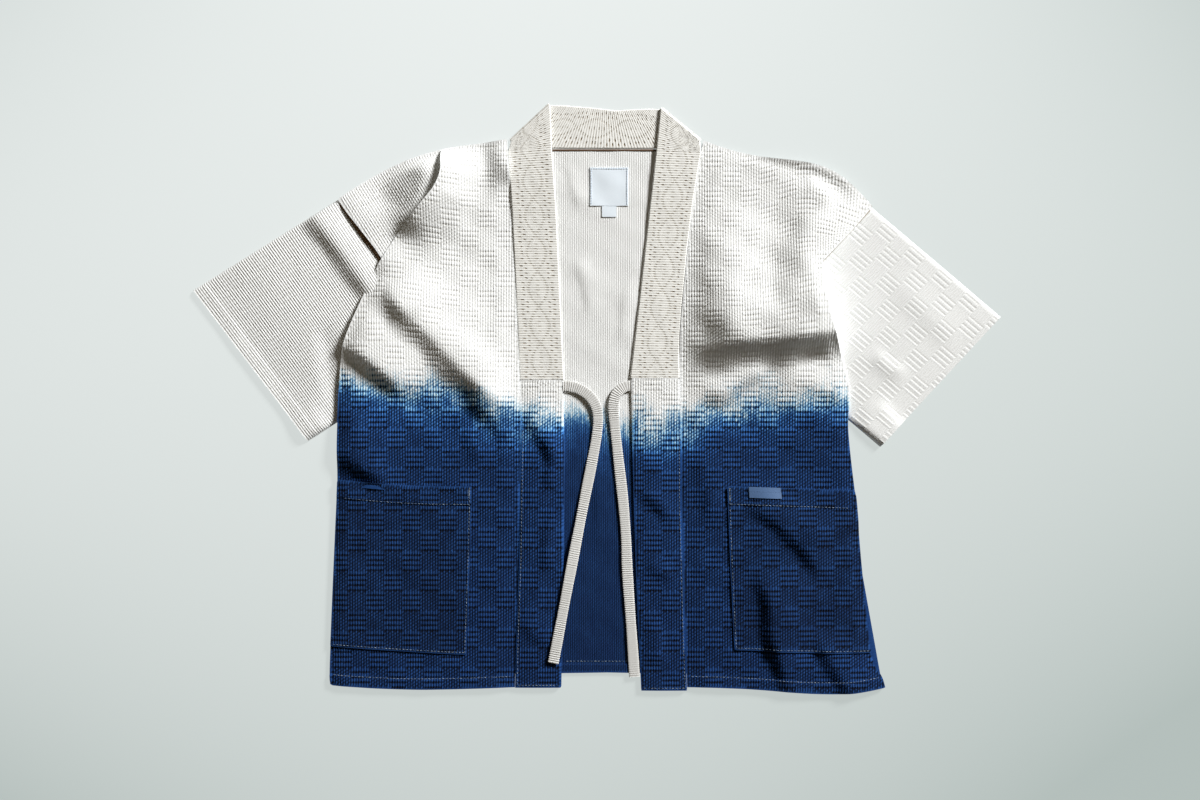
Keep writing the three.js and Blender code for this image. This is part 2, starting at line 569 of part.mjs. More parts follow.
function collarWall() {
  const rows = collarRows();
  const face = (side) => rows.map(({ free, seam, z, up }) => {
    const line = [];
    for (let column = 0; column <= COLLAR_ACROSS; column += 1) {
      const share = column / COLLAR_ACROSS;
      line.push([0, 1, 2].map((axis) => {
        const middle = axis === 2 ? z : THREE.MathUtils.lerp(seam[axis], free[axis], share);
        return middle + side * up[axis] * FOLDED / 2;
      }));
    }
    return line;
  });
  return wall(face(1), face(-1));
}

function bandWall(band, seamLine, edgeLine, toSide) {
  const base = CLOTH + SEAM;
  const face = (offset) => {
    const grid = [];
    for (let row = 0; row <= BAND_ROWS; row += 1) {
      const y = THREE.MathUtils.lerp(band.foot_y, band.head_y, row / BAND_ROWS);
      const line = [];
      for (let column = 0; column <= BAND_ACROSS; column += 1) {
        const share = column / BAND_ACROSS;
        const x = THREE.MathUtils.lerp(lineX(edgeLine, y), lineX(seamLine, y), share);
        const inside = column > 0 && column < BAND_ACROSS ? 1 : 0;
        const wave = offset > 0 ? band.waves * inside * (0.5 + 0.5 * Math.sin(row * 1.3 + 2.1 * column)) : 0;
        line.push([x, y, base + offset + wave]);
      }
      grid.push(line);
    }
    return toSide > 0 ? grid : mirrored(grid);
  };
  return wall(face(FOLDED), face(0));
}

// A flat tape with soft edges, swept along its route.
function tieTape(route) {
  const path = new THREE.CatmullRomCurve3(route.map((point) => new THREE.Vector3(...point)), false, 'centripetal');
  const half = TIE_WIDTH / 2;
  const thick = FOLDED / 2;
  const soft = 1.1;
  const section = new THREE.Shape([
    [-thick, -half + soft], [-thick + soft, -half], [thick - soft, -half], [thick, -half + soft],
    [thick, half - soft], [thick - soft, half], [-thick + soft, half], [-thick, half - soft],
  ].map(([up, side]) => new THREE.Vector2(up, side)));
  return new THREE.ExtrudeGeometry(section, { steps: TIE_STEPS, extrudePath: path, bevelEnabled: false });
}

function tape({ x, y, width, height }) {
  const geometry = new THREE.BoxGeometry(width, height, LABEL, 2, 2, 1);
  geometry.translate(x, y, CLOTH + SEAM + LABEL / 2);
  return geometry;
}

// ---------- the jacket ----------

const jacket = new THREE.Group();

const left = makeFront({
  rows: FRONT_ROWS_LEFT, seamLine: SEAM_LINE_LEFT, peak: BOW_PEAK.left,
  folds: FOLDS_LEFT, sleeve: SLEEVES.left, toSide: -1,
});
const right = makeFront({
  rows: FRONT_ROWS_RIGHT, seamLine: SEAM_LINE_RIGHT, peak: BOW_PEAK.right,
  folds: FOLDS_RIGHT, sleeve: SLEEVES.right, toSide: 1,
});

jacket.add(cloth('back', backWall(left, right), CREAM));
jacket.add(cloth('front_left', frontWall(left), DYED));
jacket.add(cloth('front_right', frontWall(right), DYED));
jacket.add(cloth('sleeve_left', sleeveWall(SLEEVES.left), CREAM));
jacket.add(cloth('sleeve_right', sleeveWall(SLEEVES.right), CREAM));
jacket.add(cloth('collar', collarWall(), COLLAR_CREAM));
jacket.add(cloth('front_band_left', bandWall(BANDS.left, SEAM_LINE_LEFT, BAND_EDGE_LEFT, -1), DYED));
jacket.add(cloth('front_band_right', bandWall(BANDS.right, SEAM_LINE_RIGHT, BAND_EDGE_RIGHT, 1), DYED));
jacket.add(cloth('pocket_left', pocketWall(left), DYED));
jacket.add(cloth('pocket_right', pocketWall(right), DYED));
jacket.add(cloth('pocket_tab', pocketTab(right), TAB_BLUE, 0.7));
jacket.add(cloth('tie_left', tieTape(TIE_LEFT), CREAM));
jacket.add(cloth('tie_right', tieTape(TIE_RIGHT), CREAM));
jacket.add(cloth('neck_label', tape(NECK_LABEL), LABEL_BLUE, 0.6));
jacket.add(cloth('size_tab', tape(SIZE_TAB), LABEL_BLUE, 0.6));

export default jacket;
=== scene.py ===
# %% [markdown]
# # A noragi jacket, laid out flat
# A noragi is the short work jacket of Japanese farms. This one is cut from heavy checkered cotton,
# dipped in indigo up to the waist, and laid on a pale table with its front open.
# The lesson builds it as a tailor would: cloth first, then pieces, then sewing.

# %% The frame and the units
import math
from collections import namedtuple

import bpy
import numpy as np
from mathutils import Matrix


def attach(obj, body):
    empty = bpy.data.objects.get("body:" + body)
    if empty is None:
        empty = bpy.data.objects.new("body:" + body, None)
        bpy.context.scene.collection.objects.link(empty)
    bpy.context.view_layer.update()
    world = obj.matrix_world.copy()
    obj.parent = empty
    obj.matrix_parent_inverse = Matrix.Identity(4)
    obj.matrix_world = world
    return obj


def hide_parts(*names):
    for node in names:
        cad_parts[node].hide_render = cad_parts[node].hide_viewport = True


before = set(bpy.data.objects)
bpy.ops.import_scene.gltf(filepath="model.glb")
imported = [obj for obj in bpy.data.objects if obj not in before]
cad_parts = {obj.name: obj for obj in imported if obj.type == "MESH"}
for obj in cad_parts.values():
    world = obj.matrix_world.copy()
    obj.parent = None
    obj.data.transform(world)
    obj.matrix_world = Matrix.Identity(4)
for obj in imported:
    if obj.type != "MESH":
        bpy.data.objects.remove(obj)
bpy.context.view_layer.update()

MM = 0.001                      # tables are in millimetres, meshes in metres

# %% [markdown]
# ## Camera
# The jacket is seen from straight above, so one millimetre of cloth is the same length everywhere in
# the view. A long lens high above keeps it so. The distance follows from the width that the view
# has to take in.

# %% Camera
VIEW_WIDTH = 1440 * MM
VIEW_CENTRE = (3.6 * MM, -1.8 * MM)
LENS = 50.0
SENSOR = 36.0

camera_data = bpy.data.cameras.new("camera")
camera_data.lens = LENS
camera_data.sensor_width = SENSOR
camera = bpy.data.objects.new("camera", camera_data)
camera.location = (*VIEW_CENTRE, VIEW_WIDTH * LENS / SENSOR + 4 * MM)
bpy.context.collection.objects.link(camera)
bpy.context.scene.camera = camera
print("camera height:", round(camera.location.z, 3))

# %% [markdown]
# ## Light
# Relief only shows when light comes in low. A large panel to the upper right gives soft shadows that
# fall to the lower left, and an even sky fills them.

# %% Light and sky
bpy.context.scene.view_settings.view_transform = "Standard"

KEY_AZIMUTH = math.radians(43)
KEY_ELEVATION = math.radians(26)
KEY_DISTANCE = 8.0
KEY_SIZE = 1.7                  # a small panel, so shadows have a fairly sharp edge
KEY_POWER = 1212
KEY_COLOUR = (1.0, 1.0, 0.998)
SKY_COLOUR = (1.0, 0.83, 0.58, 1.0)
SKY_STRENGTH = 0.078


def panel_light(name, azimuth, elevation, distance, size, power, colour):
    """A square area light that looks at the jacket from a direction."""
    data = bpy.data.lights.new(name, "AREA")
    data.size = size
    data.energy = power
    data.color = colour
    light = bpy.data.objects.new(name, data)
    flat = math.cos(elevation) * distance
    light.location = (math.cos(azimuth) * flat, math.sin(azimuth) * flat, math.sin(elevation) * distance)
    light.rotation_euler = (-light.location).to_track_quat("-Z", "Y").to_euler()
    bpy.context.collection.objects.link(light)
    return light


panel_light("key", KEY_AZIMUTH, KEY_ELEVATION, KEY_DISTANCE, KEY_SIZE, KEY_POWER, KEY_COLOUR)

world = bpy.data.worlds.new("studio")
bpy.context.scene.world = world
world.use_nodes = True
sky = world.node_tree.nodes["Background"]
sky.inputs["Color"].default_value = SKY_COLOUR
sky.inputs["Strength"].default_value = SKY_STRENGTH

# %% [markdown]
# ## Shader maths as Python
# A finish is easier to read as a formula than as a drawing of boxes. `Wire` stands for one socket;
# sums and products of wires add the Math nodes themselves. `Finish` makes every other node.

# %% Wires and finishes
def operation(kind, swapped=False):
    """A method that adds one Math node; where swapped, the wire is its second input."""
    def method(self, other):
        inputs = {0: other, 1: self} if swapped else {0: self, 1: other}
        return self.finish.node("ShaderNodeMath", {"operation": kind}, inputs)["Value"]
    return method


class Wire:
    """One output socket. Arithmetic on it adds Math nodes."""

    def __init__(self, finish, socket):
        self.finish = finish
        self.socket = socket

    __add__ = operation("ADD")
    __radd__ = operation("ADD")
    __sub__ = operation("SUBTRACT")
    __rsub__ = operation("SUBTRACT", swapped=True)
    __mul__ = operation("MULTIPLY")
    __rmul__ = operation("MULTIPLY")
    __truediv__ = operation("DIVIDE")
    __pow__ = operation("POWER")

    def between(self, low, high):
        """0 at low, 1 at high, and straight between, without running past either."""
        inputs = {"Value": self, "From Min": low, "From Max": high}
        return self.finish.node("ShaderNodeMapRange", {"clamp": True}, inputs)["Result"]

    def clamped(self):
        return self.between(0.0, 1.0)


class Finish:
    """A material and the nodes in it."""

    def __init__(self, name, **constants):
        self.material = bpy.data.materials.new(name)
        self.material.use_nodes = True
        self.tree = self.material.node_tree
        self.shader = self.tree.nodes["Principled BSDF"]
        for socket, value in constants.items():
            self.shader.inputs[socket.replace("_", " ")].default_value = value

    def node(self, kind, settings=None, inputs=None):
        """Any node but Mix: its type, its settings, then its inputs. Gives its outputs by name."""
        made = self.tree.nodes.new(kind)
        for name, value in (settings or {}).items():
            if name == "stops":
                self._set_stops(made.color_ramp, value)
            else:
                setattr(made, name, value)
        for key, value in (inputs or {}).items():
            self._feed(made.inputs[key], value)
        return {socket.name: Wire(self, socket) for socket in made.outputs if socket.enabled}

    def _set_stops(self, ramp, stops):
        while len(ramp.elements) < len(stops):
            ramp.elements.new(1.0)
        for element, (position, colour) in zip(ramp.elements, stops):
            element.position = position
            element.color = (*colour, 1.0)

    def _feed(self, socket, value):
        if isinstance(value, Wire):
            self.tree.links.new(value.socket, socket)
        elif isinstance(value, tuple) and len(value) == 3 and len(socket.default_value) == 4:
            socket.default_value = (*value, 1.0)
        else:
            socket.default_value = value

    def feed(self, **inputs):
        for name, value in inputs.items():
            self._feed(self.shader.inputs[name.replace("_", " ")], value)

    def attribute(self, name):
        return self.node("ShaderNodeAttribute", {"attribute_name": name})

    def mix(self, share, first, second, how="MIX"):
        """Two colours mixed."""
        made = self.tree.nodes.new("ShaderNodeMix")
        made.data_type = "RGBA"
        made.blend_type = how
        inputs = {socket.identifier: socket for socket in made.inputs}
        self._feed(inputs["Factor_Float"], share)
        self._feed(inputs["A_Color"], first)
        self._feed(inputs["B_Color"], second)
        return Wire(self, next(socket for socket in made.outputs if socket.identifier == "Result_Color"))

    def noise(self, vector, scale, detail=2.0, roughness=0.5):
        inputs = {"Vector": vector, "Scale": scale, "Detail": detail, "Roughness": roughness}
        return self.node("ShaderNodeTexNoise", {}, inputs)["Fac"]

    def stretched(self, vector, scale):
        """A vector whose axes are scaled apart, for patterns that run one way."""
        inputs = {0: vector, 1: scale}
        return self.node("ShaderNodeVectorMath", {"operation": "MULTIPLY"}, inputs)["Vector"]

    def grain(self, weave, across, down, detail=2.0):
        """Noise that runs with the threads: so many grains a metre across them and down them."""
        return self.noise(self.stretched(weave, (across, down, 0.0)), 1.0, detail)

    def bump(self, height, strength, distance):
        inputs = {"Strength": strength, "Distance": distance, "Height": height}
        return self.node("ShaderNodeBump", {}, inputs)["Normal"]


def linear(red, green, blue):
    """A colour as seen on a screen, 0 to 255, as the light it stands for."""
    shares = [value / 255 for value in (red, green, blue)]
    return tuple(s / 12.92 if s <= 0.04045 else ((s + 0.055) / 1.055) ** 2.4 for s in shares)


print("finish helpers ready")

# %% [markdown]
# ## The table
# A plain pale floor. It is no part of the jacket.

# %% Floor
floor_mesh = bpy.data.meshes.new("floor")
FLOOR_HALF = 6.0
FLOOR_Z = -0.3 * MM
SQUARE = ((-1, -1), (1, -1), (1, 1), (-1, 1))
floor_mesh.from_pydata([(x * FLOOR_HALF, y * FLOOR_HALF, FLOOR_Z) for x, y in SQUARE], [], [(0, 1, 2, 3)])
floor = bpy.data.objects.new("floor", floor_mesh)
bpy.context.collection.objects.link(floor)
PAINTED_FLOOR_GLOW = 0.85                # painted light: the table glows a little, which keeps the shadows on it pale
FLOOR_SHADE = 0.84               # and it reflects little, for the same reason
# Painted light: the table is coloured brighter towards the top and darker towards the bottom and the edges,
# standing in for the fall-off of the light.
BRIGHT_TABLE, DULL_TABLE = linear(236, 241, 240), linear(180, 191, 188)
DULLEST, BRIGHTEST_ABOVE = 0.50, 0.37   # the dull colour's brightness, and the bright one's above it
TABLE_MIDDLE = 0.764             # how bright the table is at its middle, as a share
TABLE_SLOPE = (-0.084, 0.212)   # how that changes along x and y, for each metre
TABLE_FALL = (-0.11, -0.10, -0.86)   # and with the squares of x and of y, and with both
floor_finish = Finish("pale_table", Roughness=0.9, Emission_Strength=PAINTED_FLOOR_GLOW, Specular_IOR_Level=0.1)
on_floor = floor_finish.node("ShaderNodeTexCoord")["Object"]
place = floor_finish.node("ShaderNodeSeparateXYZ", {}, {0: on_floor})
square_x, square_y = place["X"] * place["X"], place["Y"] * place["Y"]
painted_falloff = TABLE_MIDDLE + place["X"] * TABLE_SLOPE[0] + place["Y"] * TABLE_SLOPE[1]
painted_falloff += square_x * TABLE_FALL[0] + square_y * TABLE_FALL[1] + square_x * square_y * TABLE_FALL[2]
table = floor_finish.mix(((painted_falloff - DULLEST) / BRIGHTEST_ABOVE).clamped(), DULL_TABLE, BRIGHT_TABLE)
floor_finish.feed(Base_Color=floor_finish.mix(FLOOR_SHADE, table, (0.0, 0.0, 0.0)), Emission_Color=table)
floor_mesh.materials.append(floor_finish.material)

# %% [markdown]
# ## The cut
# These tables are the pattern sheet of the jacket: seam lines, rows across each front from hem to
# shoulder, and the crests of its large folds. Everything that lies on a front is worked out from
# them, so a pocket or a stitch is always where the cloth is.

# %% Pattern sheet
CLOTH = 1.5
FOLDED = 3.0
SEAM = 0.3
SLEEVE_HEIGHT = 6.0
HEM_RAISE = 1.1
EDGE_ROLL = 16.0
PUFF = 1.6
FOLD_SHARE_AT_EDGE = {"left": 0.55, "right": 1.0}
SEAM_FREE = 26.0                # a front lies down within this distance of its seam
FOLD_FREE = 64.0                # and its folds within this one

Row = namedtuple("Row", "name seam_y side_x side_y bow corner")
Fold = namedtuple("Fold", "name crest height left right")

SEAM_LINE = {
    "left": [(-360, -98.5), (-292, -97), (-194, -93.5), (-38, -91), (22, -92.5), (70, -94.5),
             (130, -97.5), (181, -100), (240, -103), (302, -107), (320, -108)],
    "right": [(-360, 108.5), (-292, 105.6), (-122, 101), (-40, 101), (22, 99.2), (50, 98.7),
              (80, 99.6), (113, 102), (181, 108.5), (238, 115.5), (299, 125.5), (320, 129.2)],
}
FRONT_ROWS = {
    "left": [
        Row("hem", -346.5, -320, -344, -4, False),
        Row("hem_top", -333.5, -321, -331, -4, False),
        Row("pocket_foot", -310, -320, -297, -1, False),
        Row("thigh", -205, -316, -200, 0, False),
        Row("tab_foot", -118, -312, -110, -4, False),
        Row("pocket_mouth", -105, -311.5, -97, -4, False),
        Row("hip", -36, -311, -34, 0, False),
        Row("waist", 12, -309, 14, 0, False),
        Row("ribs", 62, -304, 62, 0, False),
        Row("chest", 112, -285, 112, 0, False),
        Row("notch", 172, -260, 163.5, 2, True),
        Row("armhole", 240, -286, 202, 8, False),
        Row("shoulder", 311, -310.7, 239, 18, True),
    ],
    "right": [
        Row("hem", -346.5, 346, -347, -7.9, False),
        Row("hem_top", -333.5, 342, -334, -7, False),
        Row("pocket_foot", -300, 329, -305, -1, False),
        Row("thigh", -207, 318, -206, 0, False),
        Row("tab_foot", -116, 311, -123, 0, False),
        Row("pocket_mouth", -103, 309, -110, 0, False),
        Row("hip", -36, 301, -38, 0, False),
        Row("waist", 12, 302, 8, 0, False),
        Row("ribs", 62, 291, 54, 0, False),
        Row("chest", 112, 274, 108, 0, False),
        Row("notch", 172, 268, 163, 2, True),
        Row("armhole", 240, 303, 199.5, 13, False),
        Row("shoulder", 310, 329.6, 229.5, 25, True),
    ],
}
BOW_PEAK = {"left": 0.55, "right": 0.72}
SIDE_SIGN = {"left": -1, "right": 1}
SLEEVES = {
    "left": {"armhole_top": (-311, 238.6), "armhole_low": (-186, 51.6),
             "cuff_top": (-484.8, 130), "cuff_low": (-347, -51)},
    "right": {"armhole_top": (330, 229), "armhole_low": (185.2, 72.6),
              "cuff_top": (484.8, 98), "cuff_low": (340, -58)},
}
FOLDS = {
    "left": [
        Fold("chest", [(-262, 152), (-246, 122), (-212, 88), (-182, 58), (-142, 20), (-104, -6), (-70, -24)],
             11.5, 76, 25),
        Fold("chest_top", [(-252, 150), (-240, 122), (-222, 92)], 4, 40, 15),
        Fold("over_sleeve", [(-340, 86), (-310, 70), (-272, 46), (-244, 22), (-222, -6)], 12, 60, 18),
        Fold("neck", [(-100, 346), (-112, 314), (-110, 288), (-100, 250)], 28, 40, 24),
        Fold("breast", [(-216, 232), (-184, 220), (-150, 214)], 2.5, 50, 24),
        Fold("seam", [(-104, 150), (-110, 116), (-106, 80)], 3, 50, 20),
        Fold("pocket", [(-334, -50), (-300, -70), (-272, -86), (-244, -94)], 9, 60, 18),
        Fold("dye_line", [(-160, 6), (-124, -22), (-94, -54)], 9, 40, 15),
        Fold("small", [(-158, -36), (-148, -58), (-142, -78)], 3, 22, 10),
        Fold("front", [(-110, -30), (-104, -90), (-108, -168)], 3, 26, 12),
    ],
    "right": [
        Fold("chest", [(64, 63), (104, 66), (142, 66), (196, 73), (232, 74), (262, 79), (290, 82), (330, 85),
                       (400, 88), (470, 90)], 22, 100, 32),
        Fold("armhole", [(266, 262), (248, 204), (250, 150), (268, 106), (284, 80)], 7.5, 70, 40),
        Fold("chest_end", [(190, 70), (232, 72), (280, 79), (330, 85), (400, 89)], 6, 60, 24),
        Fold("hollow", [(252, 236), (228, 200), (212, 168), (206, 134), (214, 100)], -4.5, 26, 60),
        Fold("rim", [(180, 298), (232, 288), (268, 277), (293, 264), (322, 236)], 5, 14, 9),
        Fold("point", [(248, 262), (268, 250), (286, 230)], 5, 12, 16),
        Fold("collar", [(124, 230), (138, 190), (134, 150), (140, 118), (124, 70)], 5, 80, 20),
        Fold("small", [(118, -8), (160, 12), (192, 34), (212, 52)], 7, 17, 15),
        Fold("waist", [(206, 22), (256, 18), (310, -4)], 3, 40, 20),
        Fold("pocket", [(188, -196), (206, -240), (210, -280), (238, -368)], 9, 40, 13),
        Fold("mouth", [(164, -120), (214, -146), (248, -180), (276, -224)], 6, 30, 12),
        Fold("side", [(246, -190), (280, -162), (310, -148), (346, -130)], 5, 30, 11),
        Fold("corner", [(262, -280), (282, -318), (318, -368)], 6, 30, 12),
        Fold("hip", [(112, -60), (132, -104), (136, -168)], 4, 26, 12),
    ],
}
BAND_FOLDS = {
    "left": [
        Fold("knot", [(-88, -8), (-66, -44), (-40, -84)], 4, 22, 12),
        Fold("upper", [(-58, -30), (-54, -70), (-60, -118)], 3, 18, 9),
        Fold("lower", [(-52, -132), (-58, -170), (-62, -212)], 3, 18, 9),
        Fold("foot", [(-94, -262), (-72, -284), (-48, -296)], 2.5, 18, 10),
    ],
    "right": [
        Fold("upper", [(52, -104), (72, -124), (98, -146)], 3.5, 20, 12),
        Fold("middle", [(58, -196), (74, -206), (96, -210)], 2.5, 18, 10),
        Fold("lower", [(64, -262), (72, -290), (74, -326)], 2.5, 10, 18),
    ],
}

# %% Reading the pattern sheet
def smooth(start, end, value):
    """0 at start, 1 at end and an easy curve between, for arrays too."""
    share = np.clip((value - start) / (end - start), 0.0, 1.0)
    return share * share * (3.0 - 2.0 * share)


def smooth_route(points, step):
    """A smooth curve through the points, sampled about a step apart."""
    points = np.array(points, float)
    before = np.vstack([2 * points[0] - points[1], points, 2 * points[-1] - points[-2]])
    out = []
    for p0, p1, p2, p3 in zip(before, before[1:], before[2:], before[3:]):
        knots = np.cumsum([0, *(np.linalg.norm(b - a) ** 0.5 for a, b in ((p0, p1), (p1, p2), (p2, p3)))])
        count = max(1, int(round(np.linalg.norm(p2 - p1) / step)))
        for t in np.linspace(knots[1], knots[2], count, endpoint=False):
            def blend(a, b, i, j):
                return ((knots[j] - t) * a + (t - knots[i]) * b) / (knots[j] - knots[i])
            a1, a2, a3 = blend(p0, p1, 0, 1), blend(p1, p2, 1, 2), blend(p2, p3, 2, 3)
            out.append(blend(blend(a1, a2, 0, 2), blend(a2, a3, 1, 3), 1, 2))
    return np.array([*out, points[-1]])


def line_x(table, y):
    heights, places = np.array(table, float).T
    return np.interp(y, heights, places)


def along(rows, place, column):
    """A smooth curve through one column of a table; rows marked corner stay sharp."""
    index = min(int(place), len(rows) - 2)
    share = place - index
    value = [getattr(row, column) for row in rows]
    here, after = value[index], value[index + 1]
    before = value[index - 1] if index > 0 and not rows[index].corner else 2 * here - after
    beyond = value[index + 2] if index + 2 < len(rows) and not rows[index + 1].corner else 2 * after - here
    slope0, slope1 = (after - before) / 2, (beyond - here) / 2
    return ((2 * here - 2 * after + slope0 + slope1) * share ** 3
            + (3 * after - 3 * here - 2 * slope0 - slope1) * share ** 2 + slope0 * share + here)


def row_point(side, place, share):
    """A place on a front: place counts rows from the hem, share runs from seam to side."""
    rows = FRONT_ROWS[side]
    seam_y = along(rows, place, "seam_y")
    seam_x = line_x(SEAM_LINE[side], seam_y) + SIDE_SIGN[side] * SEAM
    power = math.log(0.5) / math.log(BOW_PEAK[side])
    lift = along(rows, place, "bow") * math.sin(math.pi * share ** power)
    side_x, side_y = along(rows, place, "side_x"), along(rows, place, "side_y")
    return (seam_x + (side_x - seam_x) * share, seam_y + (side_y - seam_y) * share + lift)


def rising(points):
    """The points without those that fall back, where two rows lie close together."""
    points = np.array(points)
    highest = np.maximum.accumulate(points[:, 1])
    return points[np.concatenate([[True], points[1:, 1] > highest[:-1] + 0.05])]


def row_number(side, name):
    return next(index for index, row in enumerate(FRONT_ROWS[side]) if row.name == name)


def front_edges(side):
    """The four edges of a front, each as an array of points."""
    top = len(FRONT_ROWS[side]) - 1
    places = np.linspace(0, top, 25 * top + 1)
    shares = np.linspace(0, 1, 61)
    return {
        "hem": np.array([row_point(side, 0, share) for share in shares]),
        "side": rising([row_point(side, place, 1) for place in places]),
        "shoulder": np.array([row_point(side, top, share) for share in shares]),
        "seam": rising([row_point(side, place, 0) for place in places]),
    }


EDGES = {side: front_edges(side) for side in SIDE_SIGN}
for side, edges in EDGES.items():
    width = abs(edges["side"][0][0] - edges["seam"][0][0])
    print(side, "front: hem", round(width), "mm wide")

# %% [markdown]
# ## How high the cloth stands
# A front is a height over the table. It lies on the back, or on the sleeve where that reaches under
# it, holds a little air in its middle, curls down at its edges, and each fold adds a ridge with an
# easy flank and a steep one. The easy flank falls like a bell, and the steep one runs evenly down to
# its foot. The stiffness of the cloth then softens all of it. Where folds meet, they simply add.

# %% Heights
CREST_ROUND = 3.0               # how softly a fold turns over at its crest
FOLD_GRID = 2.5
FOLD_SOFTNESS = 3.2             # how far the stiffness of the cloth spreads a fold
FOLD_MARGIN = 150               # how far the grid of folds reaches past their crests
FOLD_TAPER = 0.28               # share of its length over which a fold rises from either end
CREST_STEP = 5.0
SWAY = 0.10                     # how much the foot of a steep flank wanders, as a share
SWAY_LENGTH = 74


def flank(distance, reach, steep):
    """How a fold falls from its crest: easily like a bell, or steeply and evenly down to its foot."""
    easy = np.exp(-(distance / reach) ** 2)
    rounded = np.sqrt(distance ** 2 + CREST_ROUND ** 2) - CREST_ROUND
    return np.where(steep, np.clip(1 - rounded / reach, 0, 1) ** 1.4, easy)


def fold_height(fold, x, y):
    """What one fold adds at flat arrays of places."""
    crest = smooth_route(fold.crest, CREST_STEP)
    way = np.gradient(crest, axis=0)
    way /= np.hypot(*way.T)[:, None]
    place = np.linspace(0, 1, len(crest))
    across, up = x[:, None] - crest[:, 0], y[:, None] - crest[:, 1]
    far = across ** 2 + up ** 2
    nearest = far.min(axis=1, keepdims=True)
    weight = np.exp((nearest - far) / (2 * (4 + 0.25 * np.sqrt(nearest)) ** 2))
    weight /= weight.sum(axis=1, keepdims=True)
    offside = (weight * (way[:, 0] * up - way[:, 1] * across)).sum(axis=1)
    place = (weight * place).sum(axis=1)
    length = CREST_STEP * len(crest)
    steep = (offside > 0) == (fold.left < fold.right)
    sway = 1 + SWAY * np.sin(2 * np.pi * place * length / SWAY_LENGTH + crest[0, 0]) * steep
    reach = np.where(offside > 0, fold.left, fold.right) * sway
    taper = smooth(0, FOLD_TAPER, place) * smooth(0, FOLD_TAPER, 1 - place)
    distance = np.maximum(np.abs(offside), np.sqrt(nearest[:, 0]) - 3)
    return fold.height * taper * flank(distance, reach, steep)


def softened(heights, reach):
    """Heights on the grid, spread by a bell curve along both axes."""
    half = int(math.ceil(3 * reach / FOLD_GRID))
    bell = np.exp(-0.5 * (np.arange(-half, half + 1) * FOLD_GRID / reach) ** 2)
    bell /= bell.sum()
    for _ in range(2):
        padded = np.pad(heights, ((half, half), (0, 0)), mode="edge")
        heights = sum(share * padded[shift:shift + len(heights)] for shift, share in enumerate(bell)).T
    return heights


class FoldedCloth:
    """The folds of one piece, worked out once on a grid and read between its points."""

    def __init__(self, folds, softness=FOLD_SOFTNESS):
        crests = np.vstack([fold.crest for fold in folds]).astype(float)
        self.low = crests.min(axis=0) - FOLD_MARGIN
        high = crests.max(axis=0) + FOLD_MARGIN
        columns, lines = (np.arange(start, end, FOLD_GRID) for start, end in zip(self.low, high))
        x, y = np.meshgrid(columns, lines)
        heights = sum(fold_height(fold, x.ravel(), y.ravel()) for fold in folds).reshape(x.shape)
        self.heights = softened(heights, softness)

    def __call__(self, x, y):
        lines, columns = self.heights.shape
        column = np.clip((x - self.low[0]) / FOLD_GRID, 0, columns - 1.01)
        line = np.clip((y - self.low[1]) / FOLD_GRID, 0, lines - 1.01)
        first, lower = column.astype(int), line.astype(int)
        part, rise = column - first, line - lower
        below = self.heights[lower, first] * (1 - part) + self.heights[lower, first + 1] * part
        above = self.heights[lower + 1, first] * (1 - part) + self.heights[lower + 1, first + 1] * part
        return below * (1 - rise) + above * rise


def cross(first, second):
    return first[0] * second[1] - first[1] * second[0]


def support(sleeve, x, y):
    """Height of what lies under a front: the back, or the sleeve."""
    top, low, cuff = (np.array(sleeve[key], float) for key in ("armhole_top", "armhole_low", "cuff_low"))
    width = np.hypot(*(low - top))
    across = (low - top) / width
    outward = (cuff - low) / np.hypot(*(cuff - low))
    offset = (x - top[0], y - top[1])
    scale = cross(across, outward)
    out = cross(across, offset) / scale
    down = cross(offset, outward) / scale
    share = smooth(-60, -4, out) * smooth(width + 90, width + 3, down)
    return CLOTH + (SLEEVE_HEIGHT - CLOTH) * share


def distance_to(points, x, y):
    """Distance from each place to a line of points."""
    best = np.full(np.shape(x), np.inf)
    for first, second in zip(points[:-1], points[1:]):
        way = second - first
        part = np.clip(((x - first[0]) * way[0] + (y - first[1]) * way[1]) / max(way.dot(way), 1e-9), 0, 1)
        best = np.minimum(best, np.hypot(x - first[0] - part * way[0], y - first[1] - part * way[1]))
    return best


def ripple(x, y):
    """The slight unevenness of cloth that was smoothed by hand."""
    waves = ((0.24, 71, 44, 0.3), (0.17, -47, 63, 1.9), (0.1, 33, -91, 4.1), (0.16, 90, 75, 2.2))
    return sum(size * np.sin(2 * np.pi * (x / across + y / up) + phase) for size, across, up, phase in waves)


RIM = {side: np.vstack([edges["side"][::5], edges["shoulder"][::-4]]) for side, edges in EDGES.items()}
ARMHOLE_FOLD = [(-260, 163.5), (-249, 181), (-236.4, 199.8), (-212.4, 228.6), (-193.2, 252.6), (-186, 271.8),
                (-187, 290), (-189, 310)]
FOLD_LIP = 9.0                 # how far the left front stands over what lies beyond its armhole fold
FRONT_FOLDS = {side: FoldedCloth(folds) for side, folds in FOLDS.items()}
BEYOND_FOLDS = FoldedCloth([
    Fold("ledge", [(-313, 243), (-289, 205), (-262, 162), (-224, 104)], 2.6, 44, 30),
    Fold("tuck", [(-204, 304), (-206, 262), (-214, 228), (-236, 186)], 16, 70, 46),
])
SEAM_GAPE = 5.0                 # how far the armhole seam gapes at its lower end


def beyond_height(x, y):
    """Height of the cloth beyond the armhole fold: it lies on the sleeve and the back."""
    rise = smooth(0, EDGE_ROLL, distance_to(EDGES["left"]["shoulder"][::4], x, y))
    loose = 1.2 + 0.5 * ripple(x, y) + BEYOND_FOLDS(x, y)
    return support(SLEEVES["left"], x, y) + SEAM + CLOTH + loose * (0.2 + 0.8 * rise)


